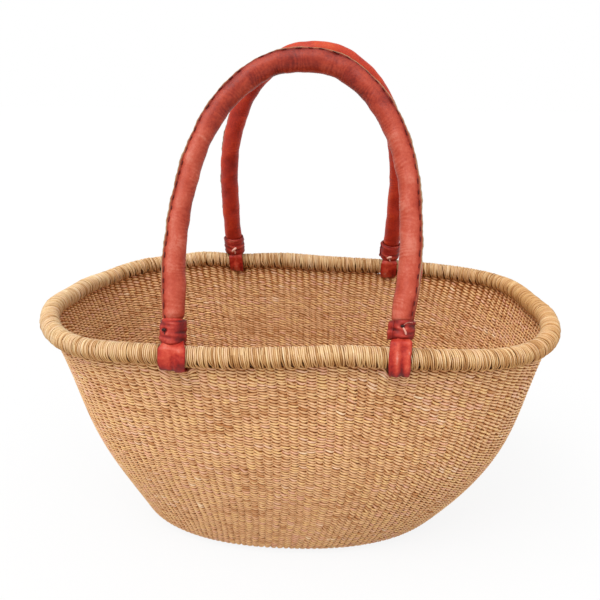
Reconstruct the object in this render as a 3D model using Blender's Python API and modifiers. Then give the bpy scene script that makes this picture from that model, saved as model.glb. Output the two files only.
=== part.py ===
"""Oval market basket of twined grass with two leather-covered handles.

The basket stands on its woven base.  X runs along its length, Y from front (-Y) to rear (+Y)
and Z up, with the origin under the middle of the rim, on the floor.  Each handle swings on its
rim loops about the line through the two places where those loops go round the rim.
"""
import math

import bmesh
import bpy
import numpy as np
from mathutils import Matrix, Vector

# Driving sizes of the basket, in metres
RIM_LENGTH = 0.4800
RIM_WIDTH = 0.3176
RIM_DIAMETER = 0.0172
RIM_HEIGHT = 0.2159
BASE_LENGTH = 0.3014
BASE_WIDTH = 0.2099
BASE_OFFSET = -0.0080
HEEL_WIDTH = 0.0110
HEEL_LAP = 0.0030
WALL_THICKNESS = 0.0044
BASE_THICKNESS = 0.0044
BINDING_THICKNESS = 0.0014

# The hand-made basket is a little uneven: how far its belly and its rim stray
BELLY_SWAY = 0.0055
RIM_TILT = -0.0009
RIM_SAG = -0.0010
RIM_TWIST = -0.0023

# Clearances: pieces that touch, the wall's slots round the loops, and a loop on the rim
GAP = 0.0003
SLOT_CLEARANCE = 0.0010
LOOP_CLEARANCE = 0.0018

# Driving sizes of the handles
HANDLE_SPAN = 0.1830
HANDLE_DIAMETER = 0.0194
HANDLE_FOOT_DIAMETER = 0.0160
HANDLE_FOOT_RISE = 0.0102
HANDLE_TAPER_RISE = 0.0600
LEATHER_THICKNESS = 0.0013
LACE_DIAMETER = 0.0018
STRAP_WIDTH = 0.0220
STRAP_THICKNESS = 0.0014
STRAP_RISE = 0.0280
STRAP_HUG_RISE = 0.0060
COLLAR_BASE_RISE = 0.0120
COLLAR_TOP_RISE = 0.0300
COLLAR_THICKNESS = 0.0011
THONG_DIAMETER = 0.0018
THONG_CURL_RADIUS = 0.0026
THONG_RISE = 0.0215

# The two handles: the height of the arch, where its middle lies along X, how far its top
# strays along X, and how far it leans in from upright at rest
FRONT_ARCH_HEIGHT = 0.2507
FRONT_OFFSET = -0.0042
FRONT_TOP_DRIFT = 0.0082
FRONT_LEAN_DEG = 25.7
REAR_ARCH_HEIGHT = 0.2439
REAR_OFFSET = 0.0063
REAR_TOP_DRIFT = -0.0008
REAR_LEAN_DEG = 9.5

# Shapes without a length: powers of the oval sections and of the handle's arch, 2 being round
RIM_POWER = 3.23
BASE_POWER = 2.24
ARCH_RISE_POWER = 3.18
ARCH_WIDTH_POWER = 2.41

# Wall profile as Bernstein shares, from the base's edge to the rim: outward, then upward.
# The turn from the flat base into the wall, its heel, ends at the last share.
OUTWARD_SHARES = (0.0, -0.02, 0.910, 0.601, 1.0)
UPWARD_SHARES = (0.0, 0.0, 0.520, 0.492, 1.0)
HEEL_SHARE = 0.14

# The arch bulges past its feet by these shares of its half span
ARCH_BULGE_SHARE = 0.0857
ARCH_LOW_BULGE_SHARE = -0.0162

# Angle in degrees from the arch's outer edge to the lace, towards the basket's outside
LACE_TURN_DEG = 28.0

# Mesh counts
RIM_COLUMNS = 72
HEEL_ROWS = 3
WALL_ROWS = 10
BINDING_ROWS = 9
ARCH_POINTS = 30
LACE_POINTS = 34
COLLAR_POINTS = 3
STRAP_COLUMNS = 6
STRAP_FLAP_ROWS = 6
STRAP_TURN_ROWS = 8
THONG_POINTS = 9
TUBE_RESOLUTION = 4
COLLAR_RESOLUTION = 6
FINE_RESOLUTION = 1
CORE_RESOLUTION = 2
SLOT_SIDES = 24
ARCH_SAMPLES = 2001

# Step of a share that directions are measured over
SHARE_STEP = 0.001

# Sizes that follow from the ones above
RIM_RADIUS = RIM_DIAMETER / 2
RIM_HALF = (RIM_LENGTH / 2 - RIM_RADIUS, RIM_WIDTH / 2 - RIM_RADIUS)
BASE_HALF = (BASE_LENGTH / 2, BASE_WIDTH / 2)
BINDING_INNER_RADIUS = RIM_RADIUS - BINDING_THICKNESS
CORE_RADIUS = BINDING_INNER_RADIUS - 2 * GAP
HALF_SPAN = HANDLE_SPAN / 2
FOOT_RADIUS = HANDLE_FOOT_DIAMETER / 2
HANDLE_RADIUS = HANDLE_DIAMETER / 2
STRAP_FACET_COSINE = math.cos(STRAP_WIDTH / (FOOT_RADIUS + GAP) / STRAP_COLUMNS / 2)
COLLAR_FACET_COSINE = math.cos(math.pi / (4 + 2 * COLLAR_RESOLUTION))
FLAP_RADIUS = (FOOT_RADIUS + GAP) / STRAP_FACET_COSINE + STRAP_THICKNESS / 2
FLAP_OUTER_RADIUS = FLAP_RADIUS + STRAP_THICKNESS / 2 / STRAP_FACET_COSINE
COLLAR_RADIUS = (FLAP_OUTER_RADIUS + 2 * GAP) / COLLAR_FACET_COSINE + COLLAR_THICKNESS
LOOP_RADIUS = RIM_RADIUS + LOOP_CLEARANCE + STRAP_THICKNESS / 2
SLOT_RADIUS = LOOP_RADIUS + STRAP_THICKNESS / 2 + SLOT_CLEARANCE
MERGE_DISTANCE = GAP / 10

# Each handle by name, with the side of the basket that it is on, -1 being the front
HANDLES = {
    "front": {
        "height": FRONT_ARCH_HEIGHT,
        "offset": FRONT_OFFSET,
        "top_drift": FRONT_TOP_DRIFT,
        "lean_deg": FRONT_LEAN_DEG,
        "side": -1,
    },
    "rear": {
        "height": REAR_ARCH_HEIGHT,
        "offset": REAR_OFFSET,
        "top_drift": REAR_TOP_DRIFT,
        "lean_deg": REAR_LEAN_DEG,
        "side": 1,
    },
}


def clear_scene():
    """Remove every object of the open scene."""
    for old in list(bpy.data.objects):
        bpy.data.objects.remove(old, do_unlink=True)


def collection(name):
    """A new collection in the scene."""
    group = bpy.data.collections.new(name)
    bpy.context.scene.collection.children.link(group)
    return group


def material(name, colour, roughness):
    """A Principled material with one colour and roughness."""
    made = bpy.data.materials.new(name)
    made.use_nodes = True
    shader = made.node_tree.nodes["Principled BSDF"]
    shader.inputs["Base Color"].default_value = (*colour, 1.0)
    shader.inputs["Roughness"].default_value = roughness
    shader.inputs["Metallic"].default_value = 0.0
    return made


def smooth_step(share):
    """Ease from 0 to 1 as a share runs from 0 to 1, flat outside."""
    share = np.clip(share, 0.0, 1.0)
    return share * share * (3 - 2 * share)


def bernstein(weights, share):
    """Smooth curve from the first weight to the last as the share runs from 0 to 1."""
    order = len(weights) - 1
    total = 0.0
    for step, weight in enumerate(weights):
        total = total + math.comb(order, step) * (1 - share) ** (order - step) * share**step * weight
    return total


def oval(angles, half_length, half_width, power):
    """Points of a superellipse at the given directions from its middle."""
    across = np.cos(angles)
    along = np.sin(angles)
    reach = (np.abs(across / half_length) ** power + np.abs(along / half_width) ** power) ** (-1 / power)
    return reach * across, reach * along


def rim_height(x, y):
    """Height of the rim's middle over a point of its plan, with the hand-made unevenness."""
    share_x = x / RIM_HALF[0]
    share_y = y / RIM_HALF[1]
    uneven = RIM_TILT * share_x + RIM_SAG * (share_x**2 - share_y**2) + RIM_TWIST * share_x * share_y
    return RIM_HEIGHT + uneven


def rim_place(x, side):
    """Point of the rim's middle line at a given X, on the front (-1) or rear (1) side."""
    y = side * RIM_HALF[1] * (1 - abs(x / RIM_HALF[0]) ** RIM_POWER) ** (1 / RIM_POWER)
    return Vector((x, y, rim_height(x, y)))


def wall_point(angles, share):
    """Middle surface of the wall: share 0 is the base's edge and 1 the middle of the rim."""
    out = bernstein(OUTWARD_SHARES, share)
    half_length = BASE_HALF[0] + (RIM_HALF[0] - BASE_HALF[0]) * out
    half_width = BASE_HALF[1] + (RIM_HALF[1] - BASE_HALF[1]) * out
    power = BASE_POWER + (RIM_POWER - BASE_POWER) * out
    x, y = oval(angles, half_length, half_width, power)
    rim_x, rim_y = oval(angles, RIM_HALF[0], RIM_HALF[1], RIM_POWER)
    floor = WALL_THICKNESS / 2
    z = floor + (rim_height(rim_x, rim_y) - floor) * bernstein(UPWARD_SHARES, share)
    sway = BASE_OFFSET * (1 - out) + BELLY_SWAY * 4 * out * (1 - out)
    return np.stack([x + sway, y, z], axis=-1)


def base_edge(angles, inset):
    """Plan of the base's edge, drawn in by an inset."""
    x, y = oval(angles, BASE_HALF[0] - inset, BASE_HALF[1] - inset, BASE_POWER)
    return x + BASE_OFFSET, y


def heel_places(angles):
    """Flat lap next to the base, then the rounded turn up into the wall, as rows of points."""
    level = np.full(len(angles), WALL_THICKNESS / 2)
    lap = np.stack([*base_edge(angles, HEEL_WIDTH + HEEL_LAP), level], axis=-1)
    flat = np.stack([*base_edge(angles, HEEL_WIDTH), level], axis=-1)
    corner = wall_point(angles, 0.0)
    wall = wall_point(angles, HEEL_SHARE)
    turn = np.linspace(0.0, 1.0, HEEL_ROWS, endpoint=False)[:, None, None]
    rounded = (1 - turn) ** 2 * flat + 2 * turn * (1 - turn) * corner + turn**2 * wall
    return np.concatenate([lap[None], rounded])


def unit(vectors):
    """Vectors scaled to length 1."""
    return vectors / np.linalg.norm(vectors, axis=-1, keepdims=True)


def column_angles():
    """Directions from the middle of the basket to the columns of its mesh."""
    return np.linspace(0.0, 2 * math.pi, RIM_COLUMNS, endpoint=False)


def rim_frames():
    """Middle of the rim, its direction down the wall and its sideways direction, per column."""
    middle = wall_point(column_angles(), 1.0)
    down = unit(wall_point(column_angles(), 1 - SHARE_STEP) - middle)
    ahead = unit(np.roll(middle, -1, axis=0) - np.roll(middle, 1, axis=0))
    down = unit(down - ahead * np.sum(down * ahead, axis=-1, keepdims=True))
    return middle, down, np.cross(down, ahead)


def finish_object(made, group, look, parent=None):
    """Put an object in its collection with its material, and under its parent if it has one."""
    group.objects.link(made)
    made.data.materials.append(look)
    if parent is not None:
        made.parent = parent
    return made


def sheet_object(name, places, wrap):
    """Open surface through a grid of places (rows, columns, 3), closed along its columns if wrap."""
    rows, columns = places.shape[:2]
    grid = bmesh.new()
    if wrap:
        places = np.concatenate([places, places[:, :1]], axis=1)
        columns += 1
    bmesh.ops.create_grid(grid, x_segments=columns - 1, y_segments=rows - 1, size=RIM_LENGTH)
    grid.verts.ensure_lookup_table()
    for vertex, place in zip(grid.verts, places.reshape(-1, 3)):
        vertex.co = Vector(place.tolist())
    bmesh.ops.remove_doubles(grid, verts=grid.verts, dist=MERGE_DISTANCE)
    bmesh.ops.recalc_face_normals(grid, faces=grid.faces)
    mesh = bpy.data.meshes.new(name)
    grid.to_mesh(mesh)
    grid.free()
    mesh.shade_smooth()
    return bpy.data.objects.new(name, mesh)


def thicken(made, thickness, offset):
    """Give an open surface its wall."""
    wall = made.modifiers.new("thickness", "SOLIDIFY")
    wall.thickness = thickness
    wall.offset = offset
    wall.use_even_offset = True
    return made


def tube_curve(name, points, radius, shares, resolution, capped, cyclic=False):
    """Tube along points, with a share of its radius at each."""
    curve = bpy.data.curves.new(name, "CURVE")
    curve.dimensions = "3D"
    curve.bevel_depth = radius
    curve.bevel_resolution = resolution
    curve.use_fill_caps = capped
    spline = curve.splines.new("POLY")
    spline.points.add(len(points) - 1)
    spline.use_cyclic_u = cyclic
    for point, place, share in zip(spline.points, points, shares):
        point.co = (*place, 1.0)
        point.radius = share
    return bpy.data.objects.new(name, curve)


def tube_shell(name, points, radius, shares, resolution, wall):
    """Open-ended tube with a wall, measured inward from its outer radius."""
    guide = tube_curve(name + "_guide", points, radius, shares, resolution, capped=False)
    bpy.context.scene.collection.objects.link(guide)
    shaped = guide.evaluated_get(bpy.context.evaluated_depsgraph_get())
    mesh = bpy.data.meshes.new_from_object(shaped)
    bpy.data.objects.remove(guide, do_unlink=True)
    skin = bmesh.new()
    skin.from_mesh(mesh)
    bmesh.ops.remove_doubles(skin, verts=skin.verts, dist=MERGE_DISTANCE)
    bmesh.ops.recalc_face_normals(skin, faces=skin.faces)
    skin.to_mesh(mesh)
    skin.free()
    mesh.name = name
    mesh.materials.clear()
    mesh.shade_smooth()
    return thicken(bpy.data.objects.new(name, mesh), wall, -1.0)


def make_base(group, look):
    """Flat oval of twined grass that the basket stands on."""
    x, y = base_edge(column_angles(), HEEL_WIDTH + HEEL_LAP + GAP)
    curve = bpy.data.curves.new("woven_base", "CURVE")
    curve.dimensions = "2D"
    curve.fill_mode = "BOTH"
    curve.extrude = BASE_THICKNESS / 2
    outline = curve.splines.new("POLY")
    outline.points.add(RIM_COLUMNS - 1)
    outline.use_cyclic_u = True
    for point, place in zip(outline.points, zip(x, y)):
        point.co = (*place, 0.0, 1.0)
    base = bpy.data.objects.new("woven_base", curve)
    base.location = (0.0, 0.0, BASE_THICKNESS / 2)
    return finish_object(base, group, look)


def make_wall(group, look):
    """Twined wall from the base's edge, round the heel and up into the slot of the rim binding."""
    angles = column_angles()
    last_step = wall_point(angles, 1.0) - wall_point(angles, 1 - SHARE_STEP)
    stop_short = (CORE_RADIUS + GAP) * SHARE_STEP / np.linalg.norm(last_step, axis=-1)
    climbs = np.linspace(0.0, 1.0, WALL_ROWS + 1)[:, None]
    shares = HEEL_SHARE + climbs * (1 - stop_short - HEEL_SHARE)
    rows = np.concatenate([heel_places(angles), wall_point(angles, shares)])
    wall = sheet_object("woven_wall", rows, wrap=True)
    return finish_object(thicken(wall, WALL_THICKNESS, 0.0), group, look)


def make_rim_core(group, look):
    """Bundle of grass inside the rim."""
    middle, _, _ = rim_frames()
    shares = np.ones(RIM_COLUMNS)
    core = tube_curve("rim_core", middle, CORE_RADIUS, shares, CORE_RESOLUTION, capped=False, cyclic=True)
    return finish_object(core, group, look)


def make_rim_binding(group, look):
    """Straw wrapping round the core, open below where the wall's stakes come up into it."""
    middle, down, side = rim_frames()
    radius = RIM_RADIUS - BINDING_THICKNESS / 2
    opening = math.asin((WALL_THICKNESS / 2 + GAP) / BINDING_INNER_RADIUS)
    turns = np.linspace(opening, 2 * math.pi - opening, BINDING_ROWS + 1)[:, None, None]
    places = middle + radius * (np.cos(turns) * down + np.sin(turns) * side)
    binding = sheet_object("rim_binding", places, wrap=True)
    return finish_object(thicken(binding, BINDING_THICKNESS, 0.0), group, look)


def handle_feet(handle):
    """The two points of the rim's middle line that a handle's loops go round, left then right."""
    return [rim_place(handle["offset"] + sign * HALF_SPAN, handle["side"]) for sign in (-1, 1)]


def make_pivot(name, handle, group):
    """Empty on the line through a handle's feet, with its X along that line and its Z up the arch."""
    left, right = handle_feet(handle)
    along = (right - left).normalized()
    upright = (Vector((0.0, 0.0, 1.0)) - along * along.z).normalized()
    ahead = upright.cross(along)
    axes = Matrix((along, ahead, upright)).transposed().to_4x4()
    lean = Matrix.Rotation(math.radians(handle["side"] * handle["lean_deg"]), 4, "X")
    pivot = bpy.data.objects.new(name + "_pivot", None)
    pivot.matrix_world = Matrix.Translation((left + right) / 2) @ axes @ lean
    group.objects.link(pivot)
    return pivot


def arch_curve(handle):
    """Dense middle line of a handle's arch, in the pivot's X and Z, from left foot to right foot."""
    turn = np.linspace(0.0, math.pi, ARCH_SAMPLES)
    rise = np.sin(turn) ** (2 / ARCH_RISE_POWER)
    bulge = 1 + ARCH_BULGE_SHARE * np.sin(math.pi * rise) + ARCH_LOW_BULGE_SHARE * np.sin(2 * math.pi * rise)
    reach = -np.sign(np.cos(turn)) * np.abs(np.cos(turn)) ** (2 / ARCH_WIDTH_POWER)
    x = HALF_SPAN * bulge * reach + handle["top_drift"] * rise
    return np.stack([x, np.zeros(ARCH_SAMPLES), handle["height"] * rise], axis=-1)


def even_stretch(points, start, end, count):
    """Points spaced evenly along a polyline, between two of its running lengths."""
    steps = np.linalg.norm(np.diff(points, axis=0), axis=1)
    run = np.concatenate([[0.0], np.cumsum(steps)])
    wanted = np.linspace(start, run[-1] - end, count)
    return np.stack([np.interp(wanted, run, points[:, axis]) for axis in range(3)], axis=-1)


def foot_length(points, sign, height):
    """Running length from a foot (-1 left, 1 right) up the arch to a given height."""
    ordered = points if sign < 0 else points[::-1]
    climb = np.argmax(ordered[:, 2] >= height)
    return np.linalg.norm(np.diff(ordered[: climb + 1], axis=0), axis=1).sum()


def radius_share(points):
    """Share of the handle's full radius at each point: its feet are drawn in."""
    swell = smooth_step((points[:, 2] - STRAP_RISE) / (HANDLE_TAPER_RISE - STRAP_RISE))
    return (FOOT_RADIUS + (HANDLE_RADIUS - FOOT_RADIUS) * swell) / HANDLE_RADIUS


def make_handle_tube(name, handle, pivot, group, looks):
    """Grass core of a handle, the leather sleeve sewn round it, and the lace along its seam."""
    dense = arch_curve(handle)
    foot = foot_length(dense, -1, HANDLE_FOOT_RISE)
    points = even_stretch(dense, foot, foot_length(dense, 1, HANDLE_FOOT_RISE), ARCH_POINTS)
    shares = radius_share(points)
    sleeve = tube_shell(name + "_handle_leather", points, HANDLE_RADIUS, shares, TUBE_RESOLUTION,
                        LEATHER_THICKNESS)
    finish_object(sleeve, group, looks["leather"], pivot)
    core_shares = shares - (LEATHER_THICKNESS + GAP) / HANDLE_RADIUS
    core = tube_curve(name + "_handle_core", points, HANDLE_RADIUS, core_shares, TUBE_RESOLUTION, capped=True)
    finish_object(core, group, looks["grass"], pivot)
    lace_rise = COLLAR_TOP_RISE + LACE_DIAMETER
    ends = [foot_length(dense, sign, lace_rise) for sign in (-1, 1)]
    seam = even_stretch(dense, ends[0], ends[1], LACE_POINTS)
    ahead = unit(np.gradient(seam, axis=0))
    outer = np.stack([-ahead[:, 2], np.zeros(LACE_POINTS), ahead[:, 0]], axis=-1)
    turn = math.radians(LACE_TURN_DEG)
    aside = np.array([0.0, handle["side"] * math.sin(turn), 0.0])
    distance = radius_share(seam) * HANDLE_RADIUS + GAP + LACE_DIAMETER / 2
    lace_points = seam + distance[:, None] * (math.cos(turn) * outer + aside)
    even = np.ones(LACE_POINTS)
    lace = tube_curve(name + "_seam_lace", lace_points, LACE_DIAMETER / 2, even, FINE_RESOLUTION, capped=True)
    finish_object(lace, group, looks["thong"], pivot)


def foot_line(handle, sign, heights):
    """X of the arch's middle line over one foot at the given heights."""
    dense = arch_curve(handle)
    ordered = dense if sign < 0 else dense[::-1]
    lower = ordered[: ARCH_SAMPLES // 2]
    return np.interp(heights, lower[:, 2], lower[:, 0])


def strap_places(handle, sign):
    """Middle surface of a rim loop: down one side of the handle's end, under the rim and up again."""
    below_collar = np.linspace(COLLAR_BASE_RISE - GAP, 0.0, STRAP_FLAP_ROWS, endpoint=False)
    flap = np.concatenate([[STRAP_RISE], below_collar])
    turn = np.linspace(0.0, math.pi, STRAP_TURN_ROWS + 1)
    heights = np.concatenate([flap, -LOOP_RADIUS * np.sin(turn), flap[::-1]])[:, None]
    sides = np.concatenate([-np.ones(len(flap)), -np.cos(turn), np.ones(len(flap))])[:, None]
    across = np.linspace(-STRAP_WIDTH / 2, STRAP_WIDTH / 2, STRAP_COLUMNS + 1)[None, :]
    hug = smooth_step((heights - STRAP_HUG_RISE) / (below_collar[0] - STRAP_HUG_RISE))
    x = hug * FLAP_RADIUS * np.sin(across / FLAP_RADIUS) + (1 - hug) * across
    y = sides * (hug * FLAP_RADIUS * np.cos(across / FLAP_RADIUS) + (1 - hug) * LOOP_RADIUS)
    middle = foot_line(handle, sign, np.maximum(heights, 0.0))
    return np.stack(np.broadcast_arrays(middle + x, y, heights), axis=-1)


def make_foot(name, handle, sign, pivot, group, looks):
    """One foot of a handle: the strap round the rim, the collar that ties it on, and the thong."""
    strap = sheet_object(name + "_rim_loop", strap_places(handle, sign), wrap=False)
    finish_object(thicken(strap, STRAP_THICKNESS, 0.0), group, looks["loop"], pivot)
    heights = np.linspace(COLLAR_BASE_RISE, COLLAR_TOP_RISE, COLLAR_POINTS)
    middle = foot_line(handle, sign, heights)
    line = np.stack([middle, np.zeros(COLLAR_POINTS), heights], axis=-1)
    collar = tube_shell(name + "_collar", line, COLLAR_RADIUS, np.ones(COLLAR_POINTS), COLLAR_RESOLUTION,
                        COLLAR_THICKNESS)
    finish_object(collar, group, looks["loop"], pivot)
    curl = np.linspace(-math.pi / 3, math.pi, THONG_POINTS)
    x = foot_line(handle, sign, THONG_RISE) + THONG_CURL_RADIUS * np.cos(curl)
    y = np.full(THONG_POINTS, -(COLLAR_RADIUS + GAP + THONG_DIAMETER / 2))
    z = THONG_RISE + THONG_CURL_RADIUS * np.sin(curl)
    points = np.stack([x, y, z], axis=-1)
    even = np.ones(THONG_POINTS)
    thong = tube_curve(name + "_thong", points, THONG_DIAMETER / 2, even, FINE_RESOLUTION, capped=True)
    finish_object(thong, group, looks["thong"], pivot)


def cut_loop_slots(wall, group):
    """Round slots in the wall's top edge, where the rim loops pass under the rim."""
    width = STRAP_WIDTH + 2 * SLOT_CLEARANCE
    for name, handle in HANDLES.items():
        left, right = handle_feet(handle)
        turn = (right - left).to_track_quat("Z", "Y")
        for end, place in (("left", left), ("right", right)):
            shape = bmesh.new()
            bmesh.ops.create_cone(shape, cap_ends=True, segments=SLOT_SIDES, radius1=SLOT_RADIUS,
                                  radius2=SLOT_RADIUS, depth=width)
            mesh = bpy.data.meshes.new("slot_cutter")
            shape.to_mesh(mesh)
            shape.free()
            cutter = bpy.data.objects.new(f"{name}_{end}_slot_cutter", mesh)
            cutter.matrix_world = Matrix.Translation(place) @ turn.to_matrix().to_4x4()
            cutter.hide_render = True
            cutter.display_type = "WIRE"
            group.objects.link(cutter)
            cut = wall.modifiers.new(cutter.name, "BOOLEAN")
            cut.operation = "DIFFERENCE"
            cut.object = cutter


def build():
    """Make the whole basket."""
    clear_scene()
    parts = collection("bolga_basket")
    cutters = collection("cutters")
    straw = material("twined_straw", (0.56, 0.34, 0.14), 0.75)
    binding = material("wrapped_straw", (0.66, 0.47, 0.22), 0.65)
    looks = {
        "grass": material("grass_bundle", (0.45, 0.34, 0.15), 0.85),
        "leather": material("red_leather", (0.50, 0.075, 0.04), 0.5),
        "loop": material("dark_red_leather", (0.36, 0.03, 0.025), 0.5),
        "thong": material("leather_thong", (0.28, 0.03, 0.02), 0.55),
    }
    make_base(parts, straw)
    wall = make_wall(parts, straw)
    make_rim_core(parts, looks["grass"])
    make_rim_binding(parts, binding)
    for name, handle in HANDLES.items():
        pivot = make_pivot(name, handle, parts)
        make_handle_tube(name, handle, pivot, parts, looks)
        for end, sign in (("left", -1), ("right", 1)):
            make_foot(f"{name}_{end}", handle, sign, pivot, parts, looks)
    cut_loop_slots(wall, cutters)


build()
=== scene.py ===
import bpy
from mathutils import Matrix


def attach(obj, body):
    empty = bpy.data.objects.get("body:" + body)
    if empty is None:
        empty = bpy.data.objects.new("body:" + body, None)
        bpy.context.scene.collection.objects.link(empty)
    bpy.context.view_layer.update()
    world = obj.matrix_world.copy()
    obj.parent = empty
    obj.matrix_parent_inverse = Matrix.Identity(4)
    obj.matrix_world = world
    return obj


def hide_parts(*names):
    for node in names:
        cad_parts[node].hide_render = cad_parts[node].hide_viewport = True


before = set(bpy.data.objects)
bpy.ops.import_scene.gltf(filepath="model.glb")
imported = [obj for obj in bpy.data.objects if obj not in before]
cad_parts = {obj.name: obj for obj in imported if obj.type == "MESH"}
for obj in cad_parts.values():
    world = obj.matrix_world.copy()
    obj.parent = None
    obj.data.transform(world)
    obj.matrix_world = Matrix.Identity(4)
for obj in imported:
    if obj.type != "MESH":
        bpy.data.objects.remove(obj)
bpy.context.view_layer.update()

import math

import bpy
import numpy as np
from mathutils import Matrix, Vector

# Sizes of the woven basket, in metres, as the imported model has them
RIM_LENGTH = 0.4800
RIM_WIDTH = 0.3176
RIM_DIAMETER = 0.0172
RIM_HEIGHT = 0.2159
BASE_LENGTH = 0.3014
BASE_WIDTH = 0.2099
BASE_OFFSET = -0.0080
HEEL_WIDTH = 0.0110
WALL_THICKNESS = 0.0044
BELLY_SWAY = 0.0055
RIM_TILT = -0.0009
RIM_SAG = -0.0010
RIM_TWIST = -0.0023
RIM_POWER = 3.23
BASE_POWER = 2.24

# Dips and rises of the soft rim, beyond the imported one: direction, half width in degrees, mm up.
# They stay small where the loops go round it.
RIM_RISES = ((286, 13, 2.8), (216, 11, -3.0), (192, 11, 5.5), (248, 14, -1.4), (325, 13, -4.0), (130, 7, 3.4),
             (160, 9, -4.8), (101, 14, 2.6), (17, 12, 0.8), (352, 9, 3.5))
# The binding is thicker at the middle of the rear: direction and half width in degrees, mm of radius
RIM_SWELL = (90, 20, 0.9)
# The binding is painted darker and browner over one end, as painted shade: direction and half width in degrees, share
RIM_END_SHADE = (2, 32, 0.26)

OUTWARD_SHARES = (0.0, -0.02, 0.910, 0.601, 1.0)
UPWARD_SHARES = (0.0, 0.0, 0.520, 0.492, 1.0)
HEEL_SHARE = 0.14
SHARE_STEP = 0.001
RIM_RADIUS = RIM_DIAMETER / 2
RIM_HALF = (RIM_LENGTH / 2 - RIM_RADIUS, RIM_WIDTH / 2 - RIM_RADIUS)
BASE_HALF = (BASE_LENGTH / 2, BASE_WIDTH / 2)

# Sizes of the handles and their feet, in metres and degrees
HANDLE_SPAN = 0.1830
HANDLE_DIAMETER = 0.0194
HANDLE_FOOT_DIAMETER = 0.0160
HANDLE_FOOT_RISE = 0.0102
HANDLE_TAPER_RISE = 0.0600
STRAP_WIDTH = 0.0220
STRAP_THICKNESS = 0.0014
STRAP_RISE = 0.0280
COLLAR_BASE_RISE = 0.0120
COLLAR_TOP_RISE = 0.0300
LOOP_CLEARANCE = 0.0018
ARCH_RISE_POWER = 3.18
ARCH_WIDTH_POWER = 2.41
ARCH_BULGE_SHARE = 0.0857
ARCH_LOW_BULGE_SHARE = -0.0162
SEAM_TURN_DEG = 42.0
HANDLES = {
    "front": {"height": 0.2507, "offset": -0.0042, "top_drift": 0.0082, "lean_deg": 25.7, "side": -1,
              "grain_shift": 0.0, "slim": (0.0010, 0.0006), "foot_shift": (0.0014, -0.0022),
              "girth": (-0.0005, -0.0010), "leg_turn_deg": 6.0, "shoulder_shift": (0.0012, 0.0), "drop": (0.0003, 0.0020), "crown": 0.08},
    "rear": {"height": 0.2439, "offset": 0.0063, "top_drift": -0.0008, "lean_deg": 9.5, "side": 1,
             "grain_shift": 0.4, "slim": (0.0, 0.0), "foot_shift": (0.0, 0.0), "girth": (0.0004, 0.0),
             "leg_turn_deg": -14.0, "shoulder_shift": (0.0, 0.0), "drop": (0.0008, 0.0014), "crown": 0.32},
}
HALF_SPAN = HANDLE_SPAN / 2
HANDLE_RADIUS = HANDLE_DIAMETER / 2
FOOT_RADIUS = HANDLE_FOOT_DIAMETER / 2
LOOP_RADIUS = RIM_RADIUS + LOOP_CLEARANCE + STRAP_THICKNESS / 2
LOOP_REACH = LOOP_RADIUS + STRAP_THICKNESS / 2 + 0.0002

# The weave: stakes around the basket, rows of twining from the middle of the base to the rim
STAKES = 160
ROWS = 111
STITCH_SAMPLES = 4
STRAND_SIDES = 5
STRAND_THICKNESS = 0.0016
STRAND_FULLNESS = 0.98
TOP_ROW_DROP = 0.0094
STITCH_SLANT_SHARE = 0.29
# Sideways wander of the stitches, in stitches: beats round the basket, radians per row, size, phase
STITCH_WANDER = ((9, 0.13, 0.08, 0.0), (21, -0.31, 0.06, 1.0), (34, 0.55, 0.03, 2.5))
STAKE_RADIUS = 0.0008
STAKE_FILL = 1.06
STAKE_POINTS = 44
STAKE_SIDES = 4
STAKE_TIP = 0.0012
STAKE_ENDS = (0.016, 0.058)
BAND_ROWS = 15
# Rows at the top whose inner side is painted darker, as painted shade under the rim
INNER_BAND_ROWS = 3.5
# Painted shade in the furrows between the stakes inside, under the rim: how dark, over how many rows
FURROW_SHADE = 0.68
FURROW_ROWS = 9.0
SLOT_EASE = 0.0024
SLOT_MARGIN = 0.0003
SAG_AT_WALL_SHARE = 0.35
UNDERSIDE_WAIST = 0.16
NEAR_GATHER = 0.0034
FAR_GATHER = 0.0110
FAR_SHIFT = 0.0018

# The straw wrapped round the rim
WRAPS_PER_STAKE = 5
WRAP_POINTS = 25
WRAP_END_DEG = 10.0
WRAP_LEAN = 0.8
WRAP_THICKNESS = 0.0016
WRAP_WIDTH = 0.0019
WRAP_GATHER = 0.76

# The grass bundled inside the rim and the handles
BUNDLE_SIDES = 5
BUNDLE_POINTS = 130
BUNDLE_TWIST = 0.09
HANDLE_BUNDLE_RADIUS = 0.0060
RIM_BUNDLE_RADIUS = 0.0064

# The leather sewn round the handles
SLEEVE_RINGS = 900
SLEEVE_SIDES = 30
SLEEVE_END = 0.004
LEATHER_SWELL_RISE = 0.020
FOOT_SHIFT_RISES = (0.030, 0.075)
FLANGE_RINGS = 420
FLANGE_SECTION = ((0.0, 1.7, 0.5), (0.32, 2.05, 0.9), (0.62, 1.9, 1.0), (0.78, 1.2, 0.25), (0.8, 0.2, 0.0),
                  (0.5, -0.5, 0.0), (-0.5, -0.5, 0.0), (-0.8, 0.2, 0.0), (-0.78, 1.2, 0.25), (-0.62, 1.9, 1.0),
                  (-0.32, 2.05, 0.9))
FLANGE_TURN_DEG = 14.0
FLANGE_LEG_GROWTH = 0.48
THREAD_RINGS = 1000
THREAD_SIDES = 5
THREAD_RADIUS = 0.00045
THREAD_STEP = 0.0098
THREAD_RISE = 0.0006
THREAD_AWAY = 0.0011

# The loops, collars and thongs of the four feet
LOOP_ROWS = 72
LOOP_COLUMNS = 22
COLLAR_INNER = 0.0104
COLLAR_THICKNESS = 0.0009
COLLAR_ROWS = 110
COLLAR_COLUMNS = 20
COLLAR_OVERLAP = 1.1
COLLAR_CLEAR = 0.0105
THONG_RINGS = 24
THONG_SIDES = 7

# How much of the floor's white is its own, and not the lamps': the rest carries the basket's shadow
FLOOR_WHITENESS = 0.88
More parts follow.
